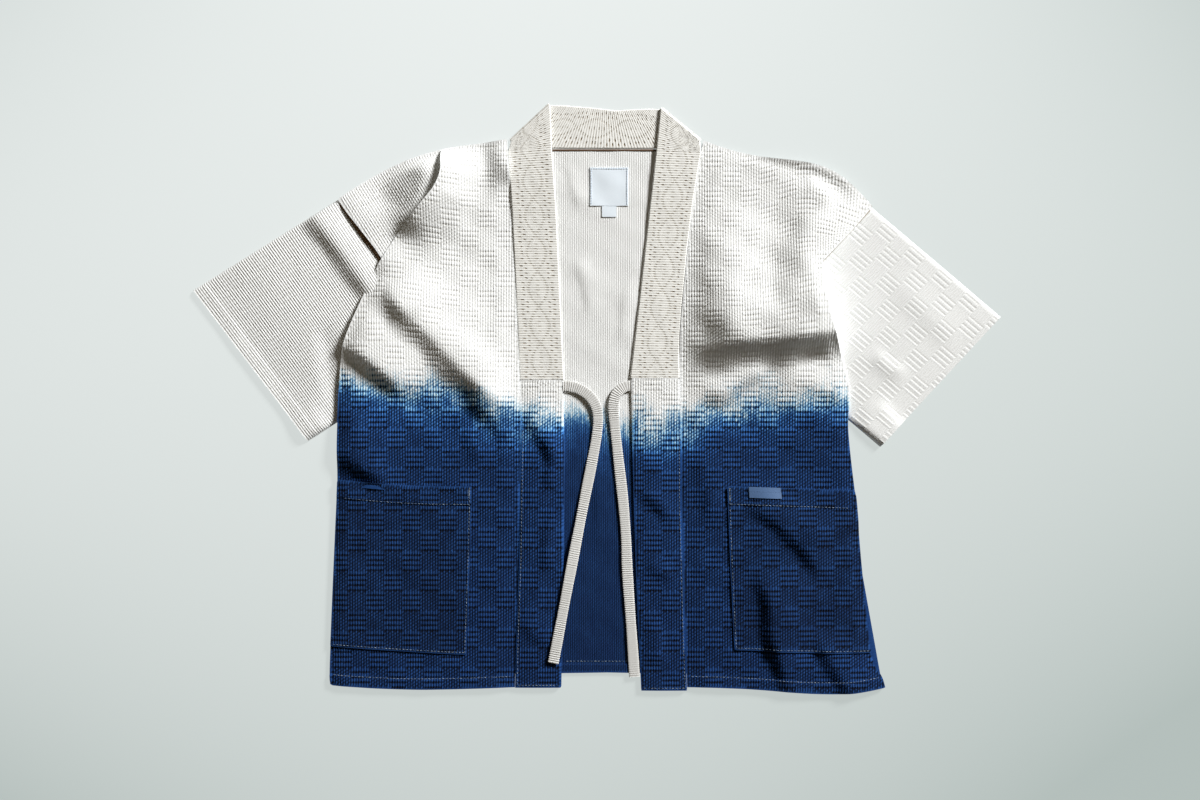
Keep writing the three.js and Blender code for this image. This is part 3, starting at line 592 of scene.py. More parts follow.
def front_height(side, x, y):
    edges = EDGES[side]
    from_rim, from_seam = distance_to(RIM[side], x, y), np.abs(x - line_x(SEAM_LINE[side], y))
    rise, free = smooth(0, EDGE_ROLL, from_rim), smooth(0, SEAM_FREE, from_seam)
    folded = FRONT_FOLDS[side](x, y)
    at_edge = FOLD_SHARE_AT_EDGE[side]
    share = at_edge + (1 - at_edge) * smooth(0, 2 * EDGE_ROLL, from_rim)
    share *= 0.3 + 0.7 * smooth(-8, FOLD_FREE, from_seam)
    hem_y = np.interp(SIDE_SIGN[side] * x, SIDE_SIGN[side] * edges["hem"][:, 0], edges["hem"][:, 1])
    over_hem = smooth(14, 12, y - hem_y)
    base = support(SLEEVES[side], x, y) + SEAM + CLOTH + HEM_RAISE * over_hem
    height = np.maximum(base + (PUFF + ripple(x, y)) * rise * free + folded * share, base)
    if side == "right":
        return height
    near = smooth(FOLD_FREE, 0, distance_to(np.array(ARMHOLE_FOLD, float), x, y)) * smooth(120, 172, y)
    lip = FOLD_LIP * smooth(196, 244, y) * smooth(302, 284, y)
    return height + (beyond_height(x, y) + CLOTH + SEAM + lip - height) * near


on_chest = front_height("right", np.array([200.0]), np.array([80.0]))
print("the fold across the right chest stands", round(float(on_chest[0]), 1), "mm high")

# %% [markdown]
# ## The weave
# The cloth is a checkerboard. In one cell the ribs run down the piece, in the next four short rows
# lie across them and break into beads. Ribs are 3.1 mm apart and the short rows 6 mm. A mesh can
# carry that only if its points fall on the tops and the valleys of the ribs, so the grid is laid to
# the weave: two columns for each rib and three lines for each row.

# %% Weave
RIB = 3.1
BAR = 6.0
CELL_RIBS = 7
CELL_BARS = 4
COLUMN_STEP = RIB / 2
LINE_STEP = BAR / 3
RIB_RELIEF = 0.2
SEED_RELIEF = 0.2
BAR_RELIEF = 0.27
BEAD_RELIEF = 0.23
BACK_RIB = 2.2
BACK_RELIEF = 0.15
SLEEVE_BARS = {"left": 0.2, "right": 0.17}
SLEEVE_RIBS = {"left": (0.26, 0.32), "right": (0.15, 0.2)}

thread_luck = np.random.default_rng(11).random((512, 512))


def luck(across, down, across_step, down_step):
    """An unevenness from 0 to 1 for each thread, always the same one at the same place."""
    columns = np.floor(across / across_step + 0.25).astype(int) % 512
    lines = np.floor(down / down_step + 0.25).astype(int) % 512
    return thread_luck[columns, lines]


def is_barred(across, down):
    """Which places lie in a cell of short rows; the others lie in a cell of ribs."""
    cell = np.floor(across / (RIB * CELL_RIBS) + 1e-6) + np.floor(down / (BAR * CELL_BARS) + 1e-6)
    return np.mod(cell, 2) == 1


def checkered(across, down):
    """Relief of the weave in millimetres, at places across the ribs and down them."""
    rib = np.cos(2 * np.pi * across / RIB)
    bar = -np.cos(2 * np.pi * down / BAR)
    seed = np.cos(np.pi * down / LINE_STEP) * np.cos(np.pi * across / RIB)
    uneven = luck(across, down, RIB, LINE_STEP)
    beads = BAR_RELIEF * bar + BEAD_RELIEF * rib
    grain = RIB_RELIEF * rib + SEED_RELIEF * seed
    return np.where(is_barred(across, down), beads, grain) * (0.6 + 0.8 * uneven)


def ribbed(across, down):
    """The wrong side of the cloth: fine ribs only."""
    rib = np.cos(2 * np.pi * across / BACK_RIB) * (0.8 + 0.4 * luck(across, down, BACK_RIB, BAR))
    return BACK_RELIEF * (rib + 0.5 * np.cos(np.pi * down / LINE_STEP) * np.cos(np.pi * across / BACK_RIB))


def sleeve_weave(side, across, down):
    """The same checkered cloth on a sleeve; where that was pulled smooth its ribs stand out more."""
    rib = np.cos(2 * np.pi * across / RIB)
    bar = -np.cos(2 * np.pi * down / BAR)
    among_bars, alone = SLEEVE_RIBS[side]
    relief = np.where(is_barred(across, down), SLEEVE_BARS[side] * bar + among_bars * rib, alone * rib)
    return relief * (0.8 + 0.4 * luck(across, down, RIB, LINE_STEP))


# %% [markdown]
# ## Cloth from a grid
# A panel is cut out of the weave's own grid. Points near the outline are pulled onto it, so the edge
# is clean, and then the edge is turned down and in, as a hem is. The mesh keeps, at every point,
# where that point is in the weave and how deep in the dye, and the finishes read both.

# %% Mesh makers
EDGE_WEAR = 0.22                # edges wear pale: the finish takes them for the tops of threads
GRID_MARGIN = 40                # how far the weave's grid reaches past a piece before it is cut


def inside(outline, x, y):
    """Which places lie inside a closed outline."""
    found = np.zeros(np.shape(x), bool)
    for (x0, y0), (x1, y1) in zip(outline, np.roll(outline, -1, axis=0)):
        if y0 == y1:
            continue
        found ^= ((y0 > y) != (y1 > y)) & (x < (x1 - x0) * (y - y0) / (y1 - y0) + x0)
    return found


def pulled_to(outline, x, y):
    """The nearest place on a closed outline, and the way into the piece from there."""
    best = np.full(x.shape, np.inf)
    near_x, near_y = x.copy(), y.copy()
    in_x, in_y = np.zeros_like(x), np.zeros_like(y)
    turn = np.sign(sum(cross(a, b) for a, b in zip(outline, np.roll(outline, -1, axis=0))))
    for first, second in zip(outline, np.roll(outline, -1, axis=0)):
        way = second - first
        length = np.hypot(*way)
        if length < 1e-6:
            continue
        part = np.clip(((x - first[0]) * way[0] + (y - first[1]) * way[1]) / length ** 2, 0, 1)
        px, py = first[0] + part * way[0], first[1] + part * way[1]
        distance = np.hypot(x - px, y - py)
        closer = distance < best
        best = np.where(closer, distance, best)
        near_x, near_y = np.where(closer, px, near_x), np.where(closer, py, near_y)
        in_x = np.where(closer, -turn * way[1] / length, in_x)
        in_y = np.where(closer, turn * way[0] / length, in_y)
    return near_x, near_y, in_x, in_y


def grid_quads(number):
    """One quad for each cell of a grid of point numbers."""
    corners = (number[..., :-1, :-1], number[..., :-1, 1:], number[..., 1:, 1:], number[..., 1:, :-1])
    return np.stack(corners, axis=-1).reshape(-1, 4)


def closed_round(number, axis):
    """A grid of point numbers that comes round to its first line again."""
    return np.concatenate([number, np.take(number, [0], axis=axis)], axis=axis)


def run_along(points):
    """How far along a line each of its points lies."""
    return np.concatenate([[0], np.cumsum(np.linalg.norm(np.diff(points, axis=0), axis=1))])


def sideways(way):
    """For each direction, the level one to its right."""
    aside = np.column_stack([way[:, 1], -way[:, 0], 0 * way[:, 0]])
    return aside / np.linalg.norm(aside, axis=1)[:, None]


def rim_edges(quads, count):
    """The edges that only one quad uses, each in the way its quad runs."""
    starts = quads.ravel()
    ends = np.roll(quads, -1, axis=1).ravel()
    alone = ~np.isin(ends * count + starts, starts * count + ends)
    return np.stack([starts[alone], ends[alone]], axis=1)


def make_piece(name, points, quads, finish, weave=None, dye=None, smooth_faces=False):
    """A mesh object from points in millimetres, with its place in weave and dye kept."""
    mesh = bpy.data.meshes.new(name)
    mesh.from_pydata((points * MM).tolist(), [], quads.tolist())
    mesh.polygons.foreach_set("use_smooth", [smooth_faces] * len(mesh.polygons))
    kept = (("weave", "FLOAT_VECTOR", "vector", weave), ("dye", "FLOAT", "value", dye))
    for attribute, kind, field, values in kept:
        if values is not None:
            data = mesh.attributes.new(attribute, kind, "POINT").data
            data.foreach_set(field, values.astype(np.float32).ravel())
    mesh.materials.append(finish.material)
    mesh.update()
    piece = bpy.data.objects.new(name, mesh)
    bpy.context.collection.objects.link(piece)
    print(f"{name}: {len(points)} points, {2 * len(quads)} triangles")
    return piece


def straight(across, down):
    """Threads that run straight down and across the piece."""
    return across, down


def grid_places(origin, low, high, step):
    """Places a step apart, counted from an origin, that cover a stretch."""
    first, last = np.floor((low - origin) / step), np.ceil((high - origin) / step)
    return origin + np.arange(first, last + 1) * step


def cloth_panel(name, outline, height, relief, finish, origin, columns=None, turn=CLOTH, turn_in=9.0,
                drawn=straight, foot=None):
    """A piece of woven cloth: cut from the grid, raised, and turned under along its edge.

    Where a fold runs out over an edge, the edge reaches down to foot, the height of its seam."""
    low, high = outline.min(axis=0) - GRID_MARGIN, outline.max(axis=0) + GRID_MARGIN
    if columns is None:
        columns = grid_places(origin[0], low[0], high[0], COLUMN_STEP)
    lines = grid_places(origin[1], low[1], high[1], LINE_STEP)
    across, down = np.meshgrid(columns, lines)
    x, y = drawn(across, down)
    kept = inside(outline, x, y)
    number = np.arange(x.size).reshape(x.shape)
    quads = grid_quads(number)
    full = kept.ravel()[quads].sum(axis=1) >= 3
    quads = quads[full]
    used, quads = np.unique(quads, return_inverse=True)
    quads = quads.reshape(-1, 4)
    x, y = x.ravel()[used], y.ravel()[used]
    weave = np.stack([across.ravel()[used] - origin[0], down.ravel()[used] - origin[1]], axis=1)
    rim = rim_edges(quads, len(x))
    rim_points = np.unique(rim)
    near_x, near_y, in_x, in_y = pulled_to(outline, x[rim_points], y[rim_points])
    x[rim_points], y[rim_points] = near_x, near_y
    depth = distance_to(np.vstack([outline, outline[:1]]), x, y)
    thread = relief(weave[:, 0], weave[:, 1]) * smooth(0.0, 2.5, depth)
    z = height(x, y) + thread
    thread += EDGE_WEAR * smooth(2.2, 0.4, depth)

    count, edge_count = len(x), len(rim_points)
    turned = np.full(count, -1)
    turned[rim_points] = count + np.arange(edge_count)
    low_edge = z[rim_points] - turn if foot is None else foot(x[rim_points], y[rim_points])
    under = np.stack([x[rim_points], y[rim_points], low_edge], axis=1)
    back = under + np.stack([in_x * turn_in, in_y * turn_in, 0 * in_x], axis=1)
    points = np.vstack([np.stack([x, y, z], axis=1), under, back])
    start, end = rim[:, 0], rim[:, 1]
    down = np.stack([end, start, turned[start], turned[end]], axis=1)
    hem = np.stack([turned[end], turned[start], turned[start] + edge_count, turned[end] + edge_count], axis=1)
    quads = np.vstack([quads, down, hem])
    thread = np.concatenate([thread, thread[rim_points], thread[rim_points]])
    weave = np.vstack([weave, weave[rim_points], weave[rim_points]]) * MM
    weave = np.column_stack([weave, thread])
    return make_piece(name, points, quads, finish, weave, dye_depth(points[:, 0], points[:, 1]))


# %% [markdown]
# ## The dye line
# The finished jacket was dipped in indigo up to the waist, so the edge of the colour runs straight
# over every piece. It climbed a little at the sides. The height above that edge is all that the
# finish has to know.

# %% Dye line
DYE_LINE = [(-330, 20), (-308, 16), (-260, 2), (-190, -1), (-140, -16), (-98, -26), (-68, -34), (-10, -31),
            (40, -38), (66, -44), (112, -36), (148, -20), (196, -8), (244, -8), (292, 6), (330, 14)]


def dye_depth(x, y):
    """Metres above the edge of the dye; below it is negative."""
    places, heights = np.array(DYE_LINE, float).T
    return (y - np.interp(x, places, heights)) * MM


# %% [markdown]
# ## Finishes
# The cotton is matt. Its raised threads catch the light and its valleys keep the shade, so the depth
# in the weave, kept at each point, tints the colour: painted light and shade. Indigo lies on the surface of
# the yarn and has worn from the raised beads, and its valleys are painted near black as shade. Where the dye
# ends it bleeds up the ribs in streaks.

# %% Cotton
CREAM_LIGHT = linear(240, 242, 243)
CREAM_SHADE = linear(221, 221, 217)
YARN_BUMP = (0.5, 0.0004)       # strength, and depth in metres, of the yarn's own grain
THREAD_BUMP = (0.4, 0.0002)     # the same for tapes and for sewing thread
DYE_REACH = 0.050               # metres over which the dye fades, each way
INDIGO_STOPS = [
    (0.00, linear(12, 36, 74)),
    (0.25, linear(17, 46, 90)),
    (0.40, linear(28, 66, 116)),
    (0.50, linear(58, 104, 148)),
    (0.60, linear(116, 158, 180)),
    (0.70, linear(172, 200, 206)),
    (0.82, linear(224, 229, 226)),
    (1.00, linear(240, 242, 243)),
]


def cotton(name, dyed, dips=1.0, shade=CREAM_SHADE):
    """Cream cotton, or the same dipped in indigo; more than one dip makes it deeper."""
    finish = Finish(name, Roughness=0.9, Sheen_Weight=0.02, Sheen_Roughness=0.6, Specular_IOR_Level=0.1)
    weave = finish.attribute("weave")["Vector"]
    axes = finish.node("ShaderNodeSeparateXYZ", {}, {0: weave})
    depth = axes["Z"].between(-0.32, 0.27)
    slub = finish.grain(weave, 900.0, 160.0, 3.0)
    cream = finish.mix(depth * 0.85 + slub * 0.15, shade, CREAM_LIGHT)
    colour = cream
    if dyed:
        level = finish.attribute("dye")["Fac"]
        streak = finish.grain(weave, 300.0, 30.0) - 0.5
        speck = finish.grain(weave, 330.0, 260.0) - 0.5
        cloud = finish.grain(weave, 17.0, 13.0, 3.0) - 0.5
        unevenness = streak * 0.034 + speck * 0.034 + cloud * 0.10 + (depth - 0.5) * 0.02
        share = (level + unevenness + DYE_REACH) / (2 * DYE_REACH)
        ramp = finish.node("ShaderNodeValToRGB", {"stops": INDIGO_STOPS}, {"Fac": share})["Color"]
        mottle = finish.grain(weave, 90.0, 55.0) - 0.5
        patch = finish.grain(weave, 9.0, 9.0, 3.0) * 0.6 + mottle * 0.7
        waist = level.between(-0.26, -0.03) * 0.3
        # wear and painted shade: raised beads of the indigo are painted pale as worn and lit, its valleys
        # near black as shade
        wear_and_groove_shade = finish.mix((depth * 0.85 + slub * 0.15) ** 2.1, (0.0, 0.0, 0.02), (5.5, 4.9, 4.0))
        wear_and_groove_shade = finish.mix(share.between(0.3, 0.7), wear_and_groove_shade, finish.mix(depth, (0.8, 0.8, 0.8), (1.1, 1.1, 1.1)))
        tone = finish.mix(patch + waist, (0.64 / dips, 0.68 / dips, 0.84 / dips), (1.55, 1.45, 1.48))
        blue = finish.mix(1.0, finish.mix(1.0, ramp, wear_and_groove_shade, "MULTIPLY"), tone, "MULTIPLY")
        white = share.between(0.56, 0.86)
        colour = finish.mix(white, blue, cream)
    yarn = finish.grain(weave, 1500.0, 1500.0)
    finish.feed(Base_Color=colour, Normal=finish.bump(yarn, *YARN_BUMP))
    return finish


BODY_COTTON = cotton("body_cotton", dyed=True)
POCKET_COTTON = cotton("pocket_cotton", dyed=True, dips=1.7)
CREAM_COTTON = cotton("cream_cotton", dyed=False)
TIE_COTTON = cotton("tie_cotton", dyed=False, shade=linear(170, 166, 156))

# %% [markdown]
# ## The ties
# Two flat cotton tapes are caught in the seam between collar and band. They are limp, so each lies
# along what is under it: the left one comes to rest on its band. The route is a list of places for
# the middle of the tape, and the tape is swept along a smooth curve through them.

# %% Ties
TIE_WIDTH = 13.0
TIE_RIB = 2.6
TIE_STEP = 1.3
TIE_ROUTES = {
    "left": [(-40.7, 15, 3.5), (-35, 14.8, 3.5), (-25, 12.8, 3.8), (-14, 7, 4.2), (-5.4, -1.6, 4.6),
             (-0.4, -12, 4.6), (1.2, -24, 4.2), (0, -42, 3.6), (-6, -76, 3.4), (-15.5, -124, 3.6),
             (-24, -168, 5), (-30.2, -200, 6.9), (-34.2, -221, 7.5), (-40.5, -254, 7.8), (-45, -278, 7.9),
             (-52.5, -317, 7.9)],
    "right": [(40.7, 15, 3.5), (36, 14.8, 3.5), (28.4, 11, 3.9), (22.8, 4, 4.4), (20, -6, 4.6),
              (20.2, -20, 4.2), (22, -38, 3.8), (26, -76, 3.5), (31, -120, 3.5), (34.6, -164, 3.5),
              (36.4, -208, 3.5), (39.4, -252, 3.5), (42.4, -294, 3.5), (45, -334, 3.5)],
}


def tie_section(count=18):
    """A flat section with soft edges: across the tape and up, in half widths and half thicknesses."""
    angles = np.linspace(0, 2 * np.pi, 2 * count, endpoint=False)
    across = np.sign(np.cos(angles)) * np.abs(np.cos(angles)) ** 0.45
    up = np.sign(np.sin(angles)) * np.abs(np.sin(angles)) ** 0.45
    return across, up


def make_tie(side):
    route = smooth_route(TIE_ROUTES[side], TIE_STEP)
    way = np.gradient(route, axis=0)
    way /= np.linalg.norm(way, axis=1)[:, None]
    aside = sideways(way)
    over = np.cross(aside, way)
    over *= np.sign(over[:, 2])[:, None]
    run = run_along(route)
    across, up = tie_section()
    rib = np.cos(2 * np.pi * run / TIE_RIB)[:, None] * np.ones(len(across))
    thread = 0.3 * rib * np.abs(up)
    half = (TIE_WIDTH - 0.6) / 2 + 0.3 * rib + 0.25 * np.sin(run / 17.0)[:, None]
    thick = FOLDED / 2 - 0.25 + thread
    points = (route[:, None, :] + aside[:, None, :] * (half * across)[..., None]
              + over[:, None, :] * (thick * up)[..., None])
    count, around = points.shape[:2]
    number = np.arange(count * around).reshape(count, around)
    quads = grid_quads(closed_round(number, axis=1))
    middles = np.stack([points[0].mean(axis=0), points[-1].mean(axis=0)])
    cap_quads = []
    for index, row in ((0, number[0]), (1, number[-1])):
        centre = count * around + index
        onward = np.roll(row[0::2], -1)
        pairs = np.stack([row[0::2], row[1::2], onward, np.full(around // 2, centre)], axis=-1)
        cap_quads.append(pairs[:, ::-1] if index == 0 else pairs)
    quads = np.vstack([quads, *cap_quads])
    points = np.vstack([points.reshape(-1, 3), middles])
    weave = np.stack([np.broadcast_to(run[:, None] * MM, thread.shape), half * across * MM, thread], axis=-1)
    weave = np.vstack([weave.reshape(-1, 3), np.zeros((2, 3))])
    length = run[-1] * MM
    return make_piece(f"tie_{side}_tape", points, quads, TIE_COTTON, weave), length, (route * MM).tolist()


for side in SIDE_SIGN:
    tie, length, path = make_tie(side)
    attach(tie, "root")
    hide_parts(f"tie_{side}")
    print(side, "tie:", round(length, 3), "m")

# %% [markdown]
# ## The fronts
# Each front is one piece of cloth from hem to shoulder. The left one runs from its seam with the
# collar out to the side, where it folds over the sleeve.

# %% Fronts
def closed_outline(*edges):
    points = np.vstack(edges)
    apart = np.hypot(*(points - np.roll(points, 1, axis=0)).T) > 0.05
    return points[apart]


def place_piece(piece, slot, *nodes):
    """Everything rides on the one body; a shell stands for its solid."""
    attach(piece, "root")
    if nodes:
        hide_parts(*nodes)
    return piece


# %% [markdown]
# On the left the cloth is folded over in front of the armhole. What lies beyond the fold belongs to
# the same front, but it has turned with the sleeve, so its threads run along the armhole. It is
# built as a part of its own that slips under the fold.

# %% Outlines of the fronts
def cut_at_fold(edges):
    """The left front's outline with the part beyond the armhole fold left out."""
    fold = smooth_route(ARMHOLE_FOLD, 4.0)
    below = edges["side"][edges["side"][:, 1] < ARMHOLE_FOLD[0][1] - 1]
    shoulder = edges["shoulder"][::-1]
    shoulder = shoulder[shoulder[:, 0] > ARMHOLE_FOLD[-1][0] + 1]
    fold = fold[fold[:, 1] < np.interp(fold[:, 0], *edges["shoulder"][::-1].T) - 0.5]
    return closed_outline(edges["hem"], below, fold, shoulder, edges["seam"][::-1])


def beyond_fold(edges):
    """The wedge from the armhole seam to a little way under the fold."""
    fold = smooth_route(ARMHOLE_FOLD, 4.0)
    under = fold + (16, -8)
    under = under[under[:, 1] < np.interp(under[:, 0], *edges["shoulder"][::-1].T) - 1.0]
    above = edges["side"][edges["side"][:, 1] > ARMHOLE_FOLD[0][1] + 1].copy()
    above[:, 0] += SEAM_GAPE * smooth(232, 176, above[:, 1])
    shoulder = edges["shoulder"][::-1]
    shoulder = shoulder[shoulder[:, 0] < ARMHOLE_FOLD[-1][0] + 10]
    return closed_outline(above, shoulder, under[::-1], [ARMHOLE_FOLD[0]])


def drawn_right(across, down):
    """On the right the rows are drawn up towards the shoulder point, and the ribs lean with them."""
    pull = smooth(170, 280, across) * smooth(20, 130, down)
    lean = smooth(230, 330, across) * smooth(120, 220, down)
    return across + 16 * lean * smooth(150, 260, down), down + 22 * pull - 30 * lean


def drawn_left(across, down):
    """On the left they rise a little towards the armhole."""
    pull = smooth(-150, -260, across) * smooth(-10, 120, down)
    return across - 3 * pull, down + 12 * pull


def drawn_beyond(across, down):
    """Beyond the fold the threads have turned with the sleeve."""
    turn = math.radians(33)
    x, y = across - ARMHOLE_FOLD[0][0], down - ARMHOLE_FOLD[0][1]
    return (ARMHOLE_FOLD[0][0] + math.cos(turn) * x - math.sin(turn) * y,
            ARMHOLE_FOLD[0][1] + math.sin(turn) * x + math.cos(turn) * y)


# %% Making the fronts
FRONT_OUTLINES = {
    "left": cut_at_fold(EDGES["left"]),
    "right": closed_outline(EDGES["right"]["hem"], EDGES["right"]["side"], EDGES["right"]["shoulder"][::-1],
                            EDGES["right"]["seam"][::-1]),
}
DRAWN = {"left": drawn_left, "right": drawn_right}
for side in SIDE_SIGN:
    piece = cloth_panel(f"front_{side}_cloth", FRONT_OUTLINES[side], lambda x, y: front_height(side, x, y),
                        checkered, BODY_COTTON, tuple(EDGES[side]["seam"][0]), drawn=DRAWN[side],
                        foot=lambda x, y: support(SLEEVES[side], x, y) + SEAM)
    place_piece(piece, "dyed_cloth", f"front_{side}")


wedge_outline = beyond_fold(EDGES["left"])
wedge = cloth_panel("front_left_shoulder", wedge_outline, beyond_height, checkered, BODY_COTTON,
                    ARMHOLE_FOLD[0], drawn=drawn_beyond)
place_piece(wedge, "dyed_cloth", "front_left")

# %% [markdown]
# ## The back
# Only a strip of the back shows, between the bands and inside the collar, and there it is the wrong
# side of the cloth: plain ribs. Where the fronts hide it the columns may stand far apart.

# %% Back
BACK_HEM = [(-318, -338), (-159, -331.6), (12, -329), (180, -331.8), (342, -341)]
BACK_RIGHT = [(342, -341), (318, -206), (308, -110), (300, -31), (184.2, 71.8),
              (256.8, 150.6), (329.2, 229.4)]
BACK_LEFT = [(-310.4, 239.2), (-247.8, 145.8), (-184.9, 51), (-310, -28),
             (-311, -97), (-316, -205), (-318, -338)]
NECKLINE_Y = 299.6
NECK_LEFT_X, NECK_RIGHT_X = -104, 124
BACK_SHOWS = (-66, 66)
HIDDEN_STEP = 13                # how far apart the back's columns stand where the fronts hide it
BACK_FOLDS = FoldedCloth([
    Fold("label", [(-34, 286), (-30, 262), (-18, 226)], 1.0, 12, 6),
    Fold("middle", [(-26, 172), (-14, 140), (-6, 96)], 1.2, 14, 7),
    Fold("side", [(44, 150), (34, 110), (30, 60)], 1.0, 12, 7),
    Fold("waist", [(-22, -40), (0, -110), (2, -180)], 1.2, 14, 8),
], 2.0)


def dense(points, step):
    """More points along a line, at most a step apart."""
    points = np.array(points, float)
    out = [points[0]]
    for first, second in zip(points[:-1], points[1:]):
        count = max(1, int(math.ceil(np.hypot(*(second - first)) / step)))
        out += [first + (second - first) * part / count for part in range(1, count + 1)]
    return np.array(out)


shoulder_right = EDGES["right"]["shoulder"] - (0, SEAM)
shoulder_left = EDGES["left"]["shoulder"] - (0, SEAM)
shoulder_right = shoulder_right[shoulder_right[:, 0] > NECK_RIGHT_X + 26]
shoulder_left = shoulder_left[shoulder_left[:, 0] < NECK_LEFT_X - 26]
back_outline = closed_outline(
    dense(BACK_HEM, 8), dense(BACK_RIGHT, 8), shoulder_right[::-1],
    [(NECK_RIGHT_X, NECKLINE_Y), (NECK_LEFT_X, NECKLINE_Y)], shoulder_left, dense(BACK_LEFT, 8))

fine = np.arange(BACK_SHOWS[0], BACK_SHOWS[1], BACK_RIB / 2)
back_columns = np.concatenate([np.arange(-326, fine[0], HIDDEN_STEP), fine,
                               np.arange(fine[-1] + HIDDEN_STEP, 356, HIDDEN_STEP)])


def back_height(x, y):
    shown = smooth(-92, -60, x) * smooth(92, 60, x)
    hem = HEM_RAISE * smooth(-317, -320, y)
    soft = BACK_FOLDS(x, y) + 0.5 * smooth(-0.4, 0.8, ripple(x, y))
    return CLOTH + 0.2 + (soft + hem) * shown


back = cloth_panel("back_cloth", back_outline, back_height, ribbed, BODY_COTTON, (fine[0], -330.0),
                   columns=back_columns, turn=1.2, turn_in=6.0)
place_piece(back, "dyed_cloth", "back")

# %% [markdown]
# ## The bands
# Below the collar each front edge is bound with a band of cloth folded double.

# %% Bands
BAND_EDGE = {
    "left": [(-360, -43), (-292, -42), (-194, -40), (-62, -38.5), (4, -41), (30, -41)],
    "right": [(-360, 53.5), (-240, 48), (-136, 44.4), (-32, 42), (4, 41.3), (30, 41.3)],
}
BAND_ENDS = {"left": (-347, 22.5), "right": (-350.5, 24.5)}


BAND_SOFT = {side: FoldedCloth(folds, 2.0) for side, folds in BAND_FOLDS.items()}


def band_outline(side):
    foot, head = BAND_ENDS[side]
    y = np.linspace(foot, head, 70)
    inner = np.column_stack([line_x(BAND_EDGE[side], y), y])
    outer = np.column_stack([line_x(SEAM_LINE[side], y), y])
    return closed_outline(outer, inner[::-1])


def band_height(side, x, y):
    inner, outer = line_x(BAND_EDGE[side], y), line_x(SEAM_LINE[side], y)
    share = np.clip((x - inner) / (outer - inner), 0, 1)
    middle = np.sin(math.pi * share) ** 0.5
    soft = BAND_SOFT[side](x, y)
    return CLOTH + SEAM + FOLDED + (0.6 + 0.4 * ripple(1.6 * x, 1.2 * y) + soft) * middle - 0.5 * (1 - middle)


for side in SIDE_SIGN:
    outline = band_outline(side)
    origin = (line_x(SEAM_LINE[side], 0.0), BAND_ENDS[side][0])
    band = cloth_panel(f"front_band_{side}_cloth", outline, lambda x, y: band_height(side, x, y), checkered,
                       BODY_COTTON, origin, turn=2.9, turn_in=8.0)
    place_piece(band, "dyed_cloth", f"front_band_{side}")

# %% [markdown]
# ## The pockets
# A pocket is cut to the front it lies on: its outline is a part of the front's rows, and its height
# is the front's height and its own thickness.

# %% Pockets
POCKET_SHARE = 0.264


def pocket_outline(side):
    foot, mouth = row_number(side, "pocket_foot"), row_number(side, "pocket_mouth")
    shares = np.linspace(POCKET_SHARE, 1, 50)
    places = np.linspace(foot, mouth, 60)
    return closed_outline(
        [row_point(side, foot, share) for share in shares],
        rising([row_point(side, place, 1) for place in places]),
        [row_point(side, mouth, share) for share in shares[::-1]],
        rising([row_point(side, place, POCKET_SHARE) for place in places])[::-1])


def mouth_y(side, x):
    """The height of the pocket's mouth over its width."""
    mouth = row_number(side, "pocket_mouth")
    line = np.array(sorted(row_point(side, mouth, share) for share in np.linspace(POCKET_SHARE, 1, 30)))
    return np.interp(x, line[:, 0], line[:, 1])


def pocket_height(side, x, y):
    folded = smooth(-23, -20, y - mouth_y(side, x))
    return front_height(side, x, y) + SEAM + CLOTH + 1.0 * folded


for side in SIDE_SIGN:
    outline = pocket_outline(side)
    origin = (outline[0][0] + 8.0 * SIDE_SIGN[side], outline[0][1] + 5.0)
    pocket = cloth_panel(f"pocket_{side}_cloth", outline, lambda x, y: pocket_height(side, x, y), checkered,
                         POCKET_COTTON, origin, turn=1.2, turn_in=7.0)
    place_piece(pocket, "dyed_cloth", f"pocket_{side}")

# %% [markdown]
# ## The sleeves
# A sleeve is a tube that lies flat. Its ribs run round it, so they lie along the cuff. The upper
# side shows and is woven in full; the under side needs only its form.

# %% Sleeves
SLEEVE_ROUND = 7.0              # how far in from its long edges a sleeve is rounded
CUFF_TURN = 16.0
CUFF_FLATTER = 2.6              # a sleeve lies flatter at its cuff by this much
CUFF_OPENING = 0.35
SLEEVE_CORNERS = ("armhole_top", "cuff_top", "cuff_low", "armhole_low")


def sleeve_grid(side):
    """Columns run along the sleeve; rows run over the top from the upper edge and back beneath."""
    sleeve = {key: np.array(value, float) for key, value in SLEEVES[side].items()}
    length = np.hypot(*(sleeve["cuff_top"] - sleeve["armhole_top"]))
    width = np.hypot(*(sleeve["cuff_low"] - sleeve["cuff_top"]))
    along_count = int(round(length / COLUMN_STEP))
    over_count = int(round(width / LINE_STEP))
    out = np.linspace(0, 1, along_count + 1)
    over = np.linspace(0, 1, over_count + 1)
    under = np.linspace(1, 0, 22)[1:-1]
    down = np.concatenate([over, under])
    top = np.concatenate([np.ones(len(over)), -np.ones(len(under))])
    return sleeve, length, width, out, down, top


